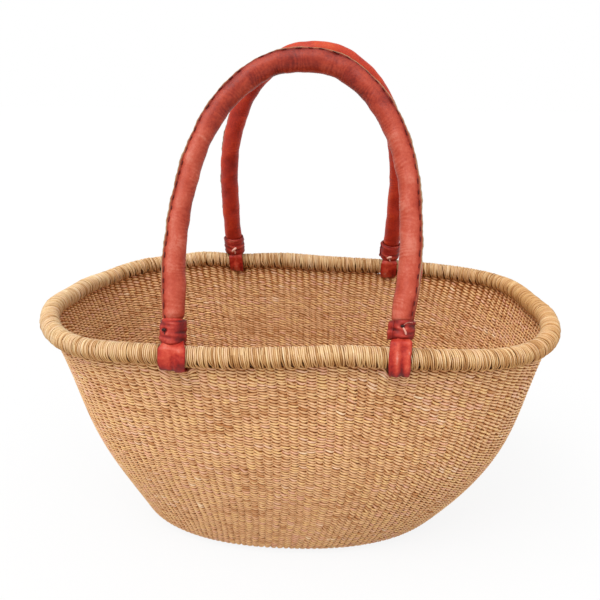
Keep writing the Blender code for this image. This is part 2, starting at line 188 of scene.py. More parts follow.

# What is particular to each foot. A loop's sag is how much lower it hangs than the imported one. Its folds
# are (place across, running length, half width, half length, height), its painted light and shade the same
# with a paleness in place of the height, for highlights on its folds and shade under it and in its valleys,
# and its panel is (place of its edge, top, height). A collar's painted light and shade are (angle from the
# photograph's side towards the right, height, half width, half length, paleness). The hole is (angle from
# the photograph's side towards the right, height). Thongs are (points in mm across, up and out from the
# hole, radius in mm, paleness).
FEET = {
    ("front", -1): {
        "loop_width": 1.0, "loop_shift": 0.0016, "sag": 0.0030, "phase": 0.4, "panel": (0.10, 0.0150, 0.0010),
        "folds": ((0.60, 0.0185, 0.42, 0.0026, 0.0006), (-0.5, 0.0215, 0.35, 0.0035, 0.0005),
                  (-0.65, 0.0070, 0.3, 0.006, -0.0004), (0.02, 0.011, 0.10, 0.008, -0.0005)),
        "loop_light_and_shade": ((0.60, 0.0110, 0.46, 0.0060, -0.34), (0.70, 0.0195, 0.40, 0.0014, 0.16),
                 (-0.50, 0.0220, 0.40, 0.0030, 0.20), (-0.30, 0.0040, 0.9, 0.0040, -0.45),
                 (-0.45, 0.0140, 0.40, 0.0050, 0.16)),
        "collar": (0.0093, 0.0276), "collar_start": 2.4, "collar_tilt": 0.0004, "collar_drop": 0.0022,
        "hole": (-0.48, 0.0182), "hole_size": 0.0019,
        "collar_light_and_shade": ((-0.9, 0.0150, 0.5, 0.006, 0.24), (0.9, 0.0170, 0.50, 0.010, -0.26),
                   (0.0, 0.0110, 0.4, 0.003, 0.20), (0.25, 0.0215, 0.35, 0.0025, 0.15)),
        "thongs": ((((-1.8, 0.3, -0.9), (0.0, 0.7, 0.2), (1.9, 0.3, -0.9)), 1.1, 0.0),
                   (((0.6, -1.0, -0.7), (0.8, -2.4, -0.2), (1.0, -3.6, -0.7)), 0.5, 0.1))},
    ("front", 1): {
        "loop_width": 0.78, "loop_shift": -0.0004, "sag": 0.0040, "phase": 2.1, "panel": (0.9, 0.012, 0.0003),
        "folds": ((-0.25, 0.016, 0.16, 0.018, 0.0009), (0.75, 0.021, 0.2, 0.013, 0.0007),
                  (0.22, 0.010, 0.15, 0.016, -0.0009), (-0.72, 0.008, 0.16, 0.014, -0.0006)),
        "loop_light_and_shade": ((-0.25, 0.0160, 0.10, 0.0050, 0.16), (0.80, 0.0200, 0.12, 0.0030, 0.18),
                 (0.20, 0.0080, 0.18, 0.0080, -0.14), (-0.1, 0.0035, 1.2, 0.0060, -0.55),
                 (-0.6, 0.0210, 0.4, 0.0040, 0.10), (0.55, 0.0130, 0.16, 0.0040, 0.12)),
        "collar": (0.0160, 0.0303), "collar_start": -1.9, "collar_tilt": 0.0002, "collar_drop": 0.0004,
        "hole": (-0.05, 0.0250), "hole_size": 0.0016,
        "collar_light_and_shade": ((-1.2, 0.0200, 0.35, 0.008, 0.30), (1.0, 0.0260, 0.5, 0.006, -0.25),
                   (0.1, 0.0190, 0.3, 0.003, 0.15)),
        "thongs": ((((-1.4, 0.0, -0.9), (0.0, 0.5, 0.2), (1.0, -0.2, -0.9)), 1.0, 0.0),
                   (((0.4, 0.2, -0.8), (1.6, 3.4, 0.8), (4.6, 3.4, 0.5), (8.5, 3.2, 0.0)), 0.36, 0.55),
                   (((0.5, -0.8, -0.8), (0.8, -2.4, 0.9), (2.6, -4.0, 0.7), (2.8, -6.6, 0.0)), 0.8, 0.72))},
    ("rear", -1): {
        "loop_width": 0.72, "loop_shift": 0.0018, "sag": 0.0, "phase": 3.3, "panel": (0.55, 0.018, 0.0006),
        "folds": ((0.0, 0.016, 0.3, 0.012, 0.0006), (-0.5, 0.012, 0.2, 0.014, -0.0005)),
        "loop_light_and_shade": ((0.1, 0.0120, 0.35, 0.0070, 0.20), (0.65, 0.0100, 0.14, 0.0100, -0.45)),
        "collar": (0.0125, 0.0318), "collar_start": 2.8, "collar_tilt": 0.0006, "collar_drop": -0.0004,
        "hole": (0.10, 0.0190), "hole_size": 0.0016,
        "collar_light_and_shade": ((-0.2, 0.0300, 0.6, 0.0016, 0.60), (0.9, 0.0220, 0.3, 0.010, 0.20)),
        "thongs": ((((-1.6, -1.2, -0.4), (-1.8, 1.0, 2.4), (1.4, 3.6, 2.4), (2.0, 3.4, -0.3)), 1.45, 0.9),
                   (((0.3, -0.6, -0.5), (1.0, -2.0, 0.9), (0.6, -4.0, 0.2)), 0.8, 0.75))},
    ("rear", 1): {
        "loop_width": 0.84, "loop_shift": 0.0, "sag": 0.0022, "phase": 5.0, "panel": (0.2, 0.014, 0.0005),
        "folds": ((-0.4, 0.018, 0.25, 0.012, 0.0006), (0.5, 0.010, 0.2, 0.014, -0.0006)),
        "loop_light_and_shade": ((-0.3, 0.0120, 0.3, 0.0070, 0.20), (0.7, 0.0100, 0.2, 0.0100, -0.40)),
        "collar": (0.0120, 0.0300), "collar_start": -2.6, "collar_tilt": -0.0006, "collar_drop": 0.0,
        "hole": (-0.1, 0.0160), "hole_size": 0.0016,
        "collar_light_and_shade": ((0.3, 0.0285, 0.6, 0.0016, 0.50), (-0.9, 0.0200, 0.3, 0.010, 0.20)),
        "thongs": ((((-1.6, -1.0, -0.4), (-2.0, 1.6, 2.2), (1.6, 3.0, 2.2), (1.8, 1.0, -0.3)), 1.3, 0.9),
                   (((0.4, -0.6, -0.5), (0.6, -2.2, 0.8), (1.4, -4.0, 0.2)), 0.7, 0.7))},
}

RNG = np.random.default_rng(20)


def smooth_step(share):
    """Ease from 0 to 1 as a share runs from 0 to 1, flat outside."""
    share = np.clip(share, 0.0, 1.0)
    return share * share * (3 - 2 * share)


def bernstein(weights, share):
    """Smooth curve from the first weight to the last as the share runs from 0 to 1."""
    order = len(weights) - 1
    total = 0.0
    for step, weight in enumerate(weights):
        total = total + math.comb(order, step) * (1 - share) ** (order - step) * share**step * weight
    return total


def unit(vectors):
    """Vectors scaled to length 1."""
    return vectors / np.maximum(np.linalg.norm(vectors, axis=-1, keepdims=True), 1e-12)


# Meshes from grids of places


def grid_mesh(name, places, along, across, relief=None, wrap_rows=False, wrap_columns=True, capped=False):
    """One mesh from grids of places (grids, rows, columns, 3).

    A face joins each place to the next along its row and the next along its column; a wrapped
    direction also joins the last to the first, and a capped tube has a face over each end.
    along (grids, rows + 1 if wrapped) and across (grids, columns + 1 if wrapped) are the UV map.
    relief (grids, rows, columns) says how far a place stands out, from 0 in a hollow to 1 on a crest; the
    materials paint it as painted shade in the hollows and painted highlight on the crests.
    All faces are turned over if they point into the tubes: then the sum of each face's area vector
    times its way out from the middle of its row is negative.
    """
    grids, rows, columns = places.shape[:3]
    row_steps = rows if wrap_rows else rows - 1
    column_steps = columns if wrap_columns else columns - 1
    grid, row, column = np.meshgrid(np.arange(grids), np.arange(row_steps), np.arange(column_steps),
                                    indexing="ij")
    corner_rows = np.stack([row, row, row + 1, row + 1], axis=-1)
    corner_columns = np.stack([column, column + 1, column + 1, column], axis=-1)
    index = (grid[..., None] * rows + corner_rows % rows) * columns + corner_columns % columns
    along = np.broadcast_to(along, (grids, np.shape(along)[-1]))
    across = np.broadcast_to(across, (grids, np.shape(across)[-1]))
    grid_corner = np.broadcast_to(grid[..., None], corner_rows.shape)
    uv = np.stack([along[grid_corner, corner_rows], across[grid_corner, corner_columns]], axis=-1)
    loops = index.reshape(-1, 4)
    uv = uv.reshape(-1, 4, 2)
    corners = places.reshape(-1, 3)[loops]
    middles = places.mean(axis=2)
    middles = ((middles[grid, row] + middles[grid, (row + 1) % rows]) / 2).reshape(-1, 3)
    area = np.cross(corners[:, 2] - corners[:, 0], corners[:, 3] - corners[:, 1])
    inward = np.sum(area * (corners.mean(axis=1) - middles)) < 0
    if inward:
        loops = loops[:, ::-1]
        uv = uv[:, ::-1]
    starts = np.arange(len(loops)) * 4
    loops = loops.ravel()
    uv = uv.reshape(-1, 2)
    if capped:
        ends = np.arange(columns)
        first = (np.arange(grids)[:, None] * rows) * columns + ends[::-1]
        last = (np.arange(grids)[:, None] * rows + rows - 1) * columns + ends
        caps = np.concatenate([first, last])
        caps = caps[:, ::-1] if inward else caps
        cap_along = np.concatenate([along[:, 0], along[:, rows - 1]])
        cap_uv = np.stack([np.repeat(cap_along, columns), np.repeat(np.tile(across[:, 0], 2), columns)], axis=-1)
        starts = np.concatenate([starts, len(loops) + np.arange(len(caps)) * columns])
        loops = np.concatenate([loops, caps.ravel()])
        uv = np.concatenate([uv, cap_uv])
    mesh = bpy.data.meshes.new(name)
    mesh.vertices.add(grids * rows * columns)
    mesh.vertices.foreach_set("co", places.astype(np.float32).ravel())
    mesh.loops.add(len(loops))
    mesh.loops.foreach_set("vertex_index", loops.astype(np.int32))
    mesh.polygons.add(len(starts))
    mesh.polygons.foreach_set("loop_start", starts.astype(np.int32))
    mesh.update(calc_edges=True)
    mesh.uv_layers.new(name="UVMap").data.foreach_set("uv", uv.astype(np.float32).ravel())
    if relief is not None:
        heights = np.broadcast_to(relief, places.shape[:3]).astype(np.float32)
        mesh.attributes.new("relief", "FLOAT", "POINT").data.foreach_set("value", heights.ravel())
    mesh.shade_smooth()
    return mesh


def piece(name, mesh, look, body, nodes=()):
    """Put a finished mesh in the scene, on its body, in place of its CAD nodes."""
    made = bpy.data.objects.new(name, mesh)
    bpy.context.scene.collection.objects.link(made)
    mesh.materials.append(look)
    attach(made, body)
    if nodes:
        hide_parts(*nodes)
    return made


def tube(path, side_axis, lift_axis, side_radius, lift_radius, turns):
    """Rings round paths (..., points, 3): each ring is an ellipse on two axes at the path's place."""
    side = np.cos(turns) * np.asarray(side_radius)[..., None]
    lift = np.sin(turns) * np.asarray(lift_radius)[..., None]
    return path[..., None, :] + side[..., None] * side_axis[..., None, :] + lift[..., None] * lift_axis[..., None, :]


# Materials


def hex_colour(code):
    """Linear colour of an sRGB hex value such as E2B483."""
    values = [int(code[place:place + 2], 16) / 255 for place in (0, 2, 4)]
    linear = [value / 12.92 if value <= 0.04045 else ((value + 0.055) / 1.055) ** 2.4 for value in values]
    return (*linear, 1.0)


def add_node(look, kind, settings=None, **links):
    """Add a node to a material, with its settings and with its inputs set or linked by name."""
    node = look.node_tree.nodes.new(kind)
    for name, value in (settings or {}).items():
        setattr(node, name, value)
    for name, value in links.items():
        socket = node.inputs[int(name[1:])] if name[0] == "_" else node.inputs[name.replace("_", " ")]
        if isinstance(value, bpy.types.NodeSocket):
            look.node_tree.links.new(value, socket)
        else:
            socket.default_value = value
    return node


def ramp_node(look, factor, stops, interpolation="LINEAR"):
    """Colour ramp through (place, hex) stops."""
    node = add_node(look, "ShaderNodeValToRGB", Fac=factor)
    ramp = node.color_ramp
    ramp.interpolation = interpolation
    while len(ramp.elements) < len(stops):
        ramp.elements.new(0.5)
    for element, (place, code) in zip(ramp.elements, stops):
        element.position = place
        element.color = hex_colour(code)
    return node


def new_look(name):
    """A material with a Principled shader, and that shader."""
    look = bpy.data.materials.new(name)
    look.use_nodes = True
    return look, look.node_tree.nodes["Principled BSDF"]


# Height up to which the grass is painted a little darker, as painted shade towards the floor, and how dark at the foot
LOW_SHADE_HEIGHT = 0.15
LOW_SHADE_FACTOR = 0.93


def straw_look(name, palette, hollows, straw_stitches, variety, patchiness, roughness):
    """Dry grass twisted by hand: each straw has its own tint, with fine fibres along it.

    The UV map counts stitches along the strand, and strands across it, so that a straw keeps its
    tint for a number of stitches and each strand changes at its own place. The hollows between
    strands are painted darker and browner from the relief attribute, as painted shade.
    """
    look, shader = new_look(name)
    place = add_node(look, "ShaderNodeUVMap", {"uv_map": "UVMap"})
    parts = add_node(look, "ShaderNodeSeparateXYZ", Vector=place.outputs["UV"])
    strand = add_node(look, "ShaderNodeMath", {"operation": "FLOOR"}, _0=parts.outputs["Y"])
    stitch = add_node(look, "ShaderNodeMath", {"operation": "ROUND"}, _0=parts.outputs["X"])
    start = add_node(look, "ShaderNodeTexWhiteNoise", {"noise_dimensions": "1D"}, W=strand.outputs[0])
    shifted = add_node(look, "ShaderNodeMath", {"operation": "MULTIPLY_ADD"}, _0=parts.outputs["X"],
                       _1=1 / straw_stitches, _2=start.outputs["Value"])
    straw = add_node(look, "ShaderNodeMath", {"operation": "FLOOR"}, _0=shifted.outputs[0])
    straw_key = add_node(look, "ShaderNodeCombineXYZ", X=straw.outputs[0], Y=strand.outputs[0])
    straw_tint = add_node(look, "ShaderNodeTexWhiteNoise", {"noise_dimensions": "3D"}, Vector=straw_key.outputs[0])
    stitch_key = add_node(look, "ShaderNodeCombineXYZ", X=stitch.outputs[0], Y=strand.outputs[0], Z=7.0)
    stitch_tint = add_node(look, "ShaderNodeTexWhiteNoise", {"noise_dimensions": "3D"},
                           Vector=stitch_key.outputs[0])
    ground = add_node(look, "ShaderNodeTexCoord")
    patch = add_node(look, "ShaderNodeTexNoise", Vector=ground.outputs["Object"], Scale=26.0, Detail=3.0,
                     Roughness=0.6)
    faint = add_node(look, "ShaderNodeMath", {"operation": "MULTIPLY"}, _0=patch.outputs["Fac"], _1=patchiness)
    mixed = add_node(look, "ShaderNodeMath", {"operation": "MULTIPLY_ADD"}, _0=straw_tint.outputs["Value"],
                     _1=variety, _2=faint.outputs[0])
    mixed = add_node(look, "ShaderNodeMath", {"operation": "MULTIPLY_ADD"}, _0=stitch_tint.outputs["Value"],
                     _1=0.30, _2=mixed.outputs[0])
    factor = add_node(look, "ShaderNodeMapRange", _0=mixed.outputs[0], _1=patchiness / 2 - 0.05,
                      _2=patchiness / 2 + 0.35 + variety)
    tint = ramp_node(look, factor.outputs[0], palette)
    stretch = add_node(look, "ShaderNodeMapping", Vector=place.outputs["UV"])
    stretch.inputs["Scale"].default_value = (1.6, 9.0, 1.0)
    fibre = add_node(look, "ShaderNodeTexNoise", Vector=stretch.outputs[0], Scale=1.0, Detail=3.0, Roughness=0.65)
    shade = add_node(look, "ShaderNodeMapRange", _0=fibre.outputs["Fac"], _1=0.35, _2=0.65, _3=0.86, _4=1.08)
    heights = add_node(look, "ShaderNodeSeparateXYZ", Vector=ground.outputs["Object"])
    # painted shade: the grass darker towards the floor
    low_shade = add_node(look, "ShaderNodeMapRange", _0=heights.outputs["Z"], _1=0.0, _2=LOW_SHADE_HEIGHT, _3=LOW_SHADE_FACTOR,
                    _4=1.0)
    shade = add_node(look, "ShaderNodeMath", {"operation": "MULTIPLY"}, _0=shade.outputs[0], _1=low_shade.outputs[0])
    # painted shade: low relief makes the hollows darker and browner
    relief = add_node(look, "ShaderNodeAttribute", {"attribute_name": "relief"})
    hollow = ramp_node(look, relief.outputs["Fac"], hollows)
    shaded = add_node(look, "ShaderNodeMix", {"data_type": "RGBA", "blend_type": "MULTIPLY"}, _0=1.0,
                      _6=hollow.outputs["Color"], _7=shade.outputs[0])
    coloured = add_node(look, "ShaderNodeMix", {"data_type": "RGBA", "blend_type": "MULTIPLY"}, _0=1.0,
                        _6=tint.outputs["Color"], _7=shaded.outputs[2])
    look.node_tree.links.new(coloured.outputs[2], shader.inputs["Base Color"])
    bump = add_node(look, "ShaderNodeBump", Strength=0.35, Distance=0.0004, Height=fibre.outputs["Fac"])
    look.node_tree.links.new(bump.outputs[0], shader.inputs["Normal"])
    shader.inputs["Roughness"].default_value = roughness
    shader.inputs["IOR"].default_value = 1.45
    shader.inputs["Specular IOR Level"].default_value = 0.3
    return look


def leather_look(name, palette, roughness, grain_mm=0.9):
    """Goat leather dyed by hand: paler and pinker where it stands out, as a painted highlight, and where it is rubbed,
    darker in its creases, as painted shade.

    The colour follows the relief, with its painted light and shade, patches of dye about 15 mm across and a grain of
    about a millimetre.
    """
    look, shader = new_look(name)
    ground = add_node(look, "ShaderNodeTexCoord")
    relief = add_node(look, "ShaderNodeAttribute", {"attribute_name": "relief"})
    patch = add_node(look, "ShaderNodeTexNoise", Vector=ground.outputs["Object"], Scale=65.0, Detail=4.0,
                     Roughness=0.6, Distortion=0.4)
    rub = add_node(look, "ShaderNodeTexNoise", Vector=ground.outputs["Object"], Scale=420.0, Detail=3.0,
                   Roughness=0.7)
    grain = add_node(look, "ShaderNodeTexVoronoi", Vector=ground.outputs["Object"], Scale=1000 / grain_mm)
    mixed = add_node(look, "ShaderNodeMath", {"operation": "MULTIPLY_ADD"}, _0=patch.outputs["Fac"], _1=0.5,
                     _2=relief.outputs["Fac"])
    mixed = add_node(look, "ShaderNodeMath", {"operation": "MULTIPLY_ADD"}, _0=rub.outputs["Fac"], _1=0.8,
                     _2=mixed.outputs[0])
    factor = add_node(look, "ShaderNodeMapRange", _0=mixed.outputs[0], _1=0.60, _2=1.70)
    tint = ramp_node(look, factor.outputs[0], palette)
    look.node_tree.links.new(tint.outputs["Color"], shader.inputs["Base Color"])
    worn = add_node(look, "ShaderNodeMapRange", _0=rub.outputs["Fac"], _1=0.3, _2=0.7, _3=roughness - 0.08,
                    _4=roughness + 0.10)
    look.node_tree.links.new(worn.outputs[0], shader.inputs["Roughness"])
    pores = add_node(look, "ShaderNodeBump", Strength=0.25, Distance=0.0002, Height=grain.outputs["Distance"])
    soft = add_node(look, "ShaderNodeBump", Strength=0.35, Distance=0.0005, Height=rub.outputs["Fac"],
                    Normal=pores.outputs[0])
    look.node_tree.links.new(soft.outputs[0], shader.inputs["Normal"])
    shader.inputs["IOR"].default_value = 1.48
    shader.inputs["Specular IOR Level"].default_value = 0.28
    return look


def bundle_look(name, palette):
    """Bundled grass inside the rim and the handles: matt, with streaks a millimetre or two wide, and painted dark, as
    painted shade where it shows between the wraps.
    """
    look, shader = new_look(name)
    ground = add_node(look, "ShaderNodeTexCoord")
    streak = add_node(look, "ShaderNodeTexNoise", Vector=ground.outputs["Object"], Scale=600.0, Detail=3.0,
                      Roughness=0.7)
    tint = ramp_node(look, streak.outputs["Fac"], palette)
    look.node_tree.links.new(tint.outputs["Color"], shader.inputs["Base Color"])
    bump = add_node(look, "ShaderNodeBump", Strength=0.4, Distance=0.0005, Height=streak.outputs["Fac"])
    look.node_tree.links.new(bump.outputs[0], shader.inputs["Normal"])
    shader.inputs["Roughness"].default_value = 0.8
    return look


# The woven sheet: every point has a stake coordinate round the basket and a way up from the middle


def oval(angles, half_length, half_width, power):
    """Points of a superellipse at the given directions from its middle."""
    across = np.cos(angles)
    along = np.sin(angles)
    reach = (np.abs(across / half_length) ** power + np.abs(along / half_width) ** power) ** (-1 / power)
    return reach * across, reach * along


def rim_height(x, y):
    """Height of the rim's middle over a point of its plan, with the hand-made unevenness."""
    share_x = x / RIM_HALF[0]
    share_y = y / RIM_HALF[1]
    return RIM_HEIGHT + RIM_TILT * share_x + RIM_SAG * (share_x**2 - share_y**2) + RIM_TWIST * share_x * share_y


def rim_rise(angles):
    """Hand-made dips and rises of the rim: a sum of bells over the direction from the basket's middle."""
    total = 0.0
    for turn, spread, rise in RIM_RISES:
        away = np.mod(angles - math.radians(turn) + math.pi, 2 * math.pi) - math.pi
        total = total + rise / 1000 * np.exp(-((away / math.radians(spread)) ** 2))
    return total


def wall_point(angles, share):
    """Middle surface of the wall: share 0 is the base's edge and 1 the middle of the rim."""
    out = bernstein(OUTWARD_SHARES, share)
    half_length = BASE_HALF[0] + (RIM_HALF[0] - BASE_HALF[0]) * out
    half_width = BASE_HALF[1] + (RIM_HALF[1] - BASE_HALF[1]) * out
    x, y = oval(angles, half_length, half_width, BASE_POWER + (RIM_POWER - BASE_POWER) * out)
    rim_x, rim_y = oval(angles, RIM_HALF[0], RIM_HALF[1], RIM_POWER)
    floor = WALL_THICKNESS / 2
    high = rim_height(rim_x, rim_y) + rim_rise(angles) - floor
    z = floor + high * bernstein(UPWARD_SHARES, share)
    sway = BASE_OFFSET * (1 - out) + BELLY_SWAY * 4 * out * (1 - out)
    return np.stack([x + sway, y, z], axis=-1)


def stake_angles(stakes):
    """Directions from the middle to stake coordinates, which are evenly spaced along the rim."""
    angles = np.linspace(0.0, 2 * math.pi, 8001)
    x, y = oval(angles, RIM_HALF[0], RIM_HALF[1], RIM_POWER)
    run = np.concatenate([[0.0], np.cumsum(np.hypot(np.diff(x), np.diff(y)))])
    return np.interp(np.mod(stakes, STAKES) / STAKES * run[-1], run, angles)


def profile(angles):
    """Dense middle line of the sheet per direction: from the base's spine out, round the heel, up the wall."""
    level = np.full(len(angles), WALL_THICKNESS / 2)
    edge_x, edge_y = oval(angles, BASE_HALF[0] - HEEL_WIDTH, BASE_HALF[1] - HEEL_WIDTH, BASE_POWER)
    spine_share = 1 - BASE_HALF[1] / BASE_HALF[0]
    reach = np.linspace(0.0, 1.0, 30, endpoint=False)[:, None]
    flat = np.stack([edge_x * (spine_share + (1 - spine_share) * reach) + BASE_OFFSET, edge_y * reach,
                     level + 0 * reach], axis=-1)
    start = np.stack([edge_x + BASE_OFFSET, edge_y, level], axis=-1)
    corner = wall_point(angles, 0.0)
    end = wall_point(angles, HEEL_SHARE)
    turn = np.linspace(0.0, 1.0, 16, endpoint=False)[:, None, None]
    heel = (1 - turn) ** 2 * start + 2 * turn * (1 - turn) * corner + turn**2 * end
    wall = wall_point(angles, np.linspace(HEEL_SHARE, 1.0, 120)[:, None])
    return np.concatenate([flat, heel, wall])


def along_profile(line, drops):
    """Places on dense lines (points, columns, 3) at distances (rows, columns) back from their upper end."""
    steps = np.linalg.norm(np.diff(line, axis=0), axis=-1)
    run = np.concatenate([np.zeros((1, line.shape[1])), np.cumsum(steps, axis=0)])
    wanted = np.clip(run[-1] - drops, 0.0, run[-1])
    below = np.sum(run[None, 1:-1] <= wanted[:, None], axis=1)
    column = np.arange(line.shape[1])[None, :]
    share = (wanted - run[below, column]) / (run[below + 1, column] - run[below, column])
    return line[below, column] + share[..., None] * (line[below + 1, column] - line[below, column])


def line_lengths(line):
    """Length of each dense line."""
    return np.linalg.norm(np.diff(line, axis=0), axis=-1).sum(axis=0)


def slot_room(points):
    """How far a loop pushes the weave down under the rim: its share from 0 beside it to 1, and its sag."""
    weight = np.zeros(points.shape[:-1])
    sag = np.zeros(points.shape[:-1])
    for (name, sign), foot in FEET.items():
        handle = HANDLES[name]
        shift = handle["foot_shift"][sign > 0] + foot["loop_shift"]
        away = np.abs(points[..., 0] - handle["offset"] - sign * HALF_SPAN - shift)
        half = STRAP_WIDTH * (1 - UNDERSIDE_WAIST) * foot["loop_width"] / 2 + SLOT_MARGIN
        near = (1 - smooth_step((away - half) / SLOT_EASE)) * (points[..., 1] * handle["side"] > 0)
        weight = np.maximum(weight, near)
        sag = np.maximum(sag, near * foot["sag"] * SAG_AT_WALL_SHARE)
    return weight, sag


def row_drops(lengths, weight, sag, stakes):
    """Distance from the rim's middle down to each row, wavy by hand and pushed down under the loops."""
    share = np.arange(ROWS)[:, None] / (ROWS - 1)
    pitch = (lengths - TOP_ROW_DROP - 0.0015) / (ROWS - 1)
    drops = TOP_ROW_DROP + share * (ROWS - 1) * pitch
    turn = 2 * math.pi * stakes / STAKES
    wave = 0.0
    for count, rise, size, phase in ((3, 1.3, 0.30, 0.4), (7, 2.1, 0.22, 2.2), (13, 3.7, 0.16, 4.1),
                                     (22, 6.3, 0.12, 1.0), (37, 9.0, 0.10, 5.3)):
        wave = wave + size * np.sin(count * turn + 2 * math.pi * rise * share + phase)
    calm = smooth_step(share * ROWS / 5) * smooth_step((1 - share) * ROWS / 8)
    drops = drops + wave * pitch * calm
    room = (LOOP_REACH + 0.47 * pitch - TOP_ROW_DROP) * weight + sag
    return drops + room * np.exp(-(drops - TOP_ROW_DROP) / 0.011)


def smooth_jitter(rows, count, samples):
    """Random numbers per stitch (rows, count), eased over its samples and closed round the basket."""
    value = np.repeat(RNG.normal(size=(rows, count)), samples, axis=1)
    return (np.roll(value, 1, axis=1) + 2 * value + np.roll(value, -1, axis=1)) / 4


def woven_rows(stakes_per_stitch):
    """Two strands per row, each a wave round the stakes: outside one, inside the next.

    With u the stitch coordinate, a strand's middle is off the sheet by a flattened cosine of pi u and
    off its row, downwards to the right seen from outside, by a sine of pi u. The two strands are half a
    wave apart, so that they twist round each other between the stakes. The section is an ellipse
    that fills the row where the strand passes a stake and narrows where the two cross.
    """
    count = STAKES // stakes_per_stitch
    stakes = np.arange(count * STITCH_SAMPLES) * stakes_per_stitch / STITCH_SAMPLES
    stitches = stakes / stakes_per_stitch
    line = profile(stake_angles(stakes))
    lengths = line_lengths(line)
    weight, sag = slot_room(line[-1])
    drops = row_drops(lengths, weight, sag, stakes)
    middle = along_profile(line, drops)
    beside = np.gradient(drops, axis=0)
    up = unit(along_profile(line, drops - 0.0004) - along_profile(line, drops + 0.0004))
    ahead = unit(np.roll(middle, -1, axis=1) - np.roll(middle, 1, axis=1))
    out = unit(np.cross(ahead, up))
    up = np.cross(out, ahead)
    spacing = STITCH_SAMPLES / 2 * np.linalg.norm(np.roll(middle, -1, axis=1) - np.roll(middle, 1, axis=1), axis=-1)
    level = np.arange(ROWS)[:, None]
    around = 2 * math.pi * stakes / STAKES
    wander = 0.0
    for beats, rise, size, phase in STITCH_WANDER:
        wander = wander + size * np.sin(beats * around + rise * level + phase)
    made = []
    reliefs = []
    for strand in (0, 1):
        phase = math.pi * (stitches + strand)
        wave = np.tanh(1.5 * np.cos(phase)) / math.tanh(1.5)
        size = 1 + 0.08 * smooth_jitter(ROWS, count, STITCH_SAMPLES)
        lean = 1 + 0.25 * smooth_jitter(ROWS, count, STITCH_SAMPLES)
        lift = 0.055 * smooth_jitter(ROWS, count, STITCH_SAMPLES)
        drift = wander + 0.05 * smooth_jitter(ROWS, count, STITCH_SAMPLES)
        thick = np.clip(STRAND_THICKNESS / 2 * size, 0.0, STRAND_THICKNESS * 0.55)
        away = (WALL_THICKNESS / 2 - thick) * wave
        slide = beside * (lift - STITCH_SLANT_SHARE * lean * np.sin(phase))
        high = beside * STRAND_FULLNESS * (0.33 + 0.17 * np.cos(phase) ** 2) * (0.5 + 0.5 * size)
        path = middle + away[..., None] * out + slide[..., None] * up + (drift * spacing)[..., None] * ahead
        spin = math.pi / STRAND_SIDES * (1 - np.cos(phase)) / 2
        turns = spin[:, None] + 2 * math.pi * np.arange(STRAND_SIDES) / STRAND_SIDES
        made.append(tube(path, out, up, thick, high, turns))
        # Painted shade from the relief: darker towards each strand's upper and lower edges, between the rows, and where
        # the two strands cross; inside, darker in the furrows between the stakes under the rim and on the inner side of
        # the top rows; and the first rows darker, in the binding's shadow.
        inner = np.clip(-1.5 * np.cos(turns), 0.0, 1.0) * (1 - 0.8 * np.abs(wave[:, None]))
        under = np.exp(-((np.arange(ROWS) / INNER_BAND_ROWS) ** 4))[:, None, None]
        within = np.clip(0.5 - 1.5 * np.cos(turns), 0.0, 1.0)
        furrow_shade = FURROW_SHADE * np.exp(-((np.arange(ROWS)[:, None] / FURROW_ROWS + 0.3 * wander) ** 2))[..., None]
        relief = (1 - (0.8 - 0.15 * within) * np.sin(turns) ** 2) * (0.82 + 0.18 * wave[:, None] ** 2)
        relief = relief * (1 - furrow_shade * within * (1 - wave[:, None] ** 2))
        relief = relief * (1 - 0.2 * inner * under) * (1 - 0.35 * np.exp(-1.5 * np.arange(ROWS)))[:, None, None]
        reliefs.append(relief)
    return np.stack(made, axis=1), np.stack(reliefs, axis=1)


def weave_pieces(look):
    """The woven sheet in bands of rows, from the rim down to the middle of the base."""
    bands = []
    row = 0
    for stakes_per_stitch, last in ((1, 92), (2, 106), (4, ROWS)):
        rows, reliefs = woven_rows(stakes_per_stitch)
        step = BAND_ROWS * stakes_per_stitch
        while row < last:
            bands.append((row, min(row + step, last), stakes_per_stitch, rows, reliefs))
            row = min(row + step, last)
    for number, (start, end, stakes_per_stitch, rows, reliefs) in enumerate(bands):
        count = STAKES // stakes_per_stitch
        shape = ((end - start) * 2, count * STITCH_SAMPLES, STRAND_SIDES)
        places = rows[start:end].reshape(*shape, 3)
        relief = reliefs[start:end].reshape(shape)
        stitches = np.linspace(0.0, count, count * STITCH_SAMPLES + 1)
        strands = np.arange(2 * start, 2 * end)[:, None] + np.linspace(0.0, 0.999, STRAND_SIDES + 1)
        mesh = grid_mesh(f"weave_{number + 1}", places, stitches[None], strands, relief, wrap_rows=True)
        node = "woven_wall" if start < 78 else "woven_base"
        piece(f"weave_{number + 1}", mesh, look, "basket", [node])


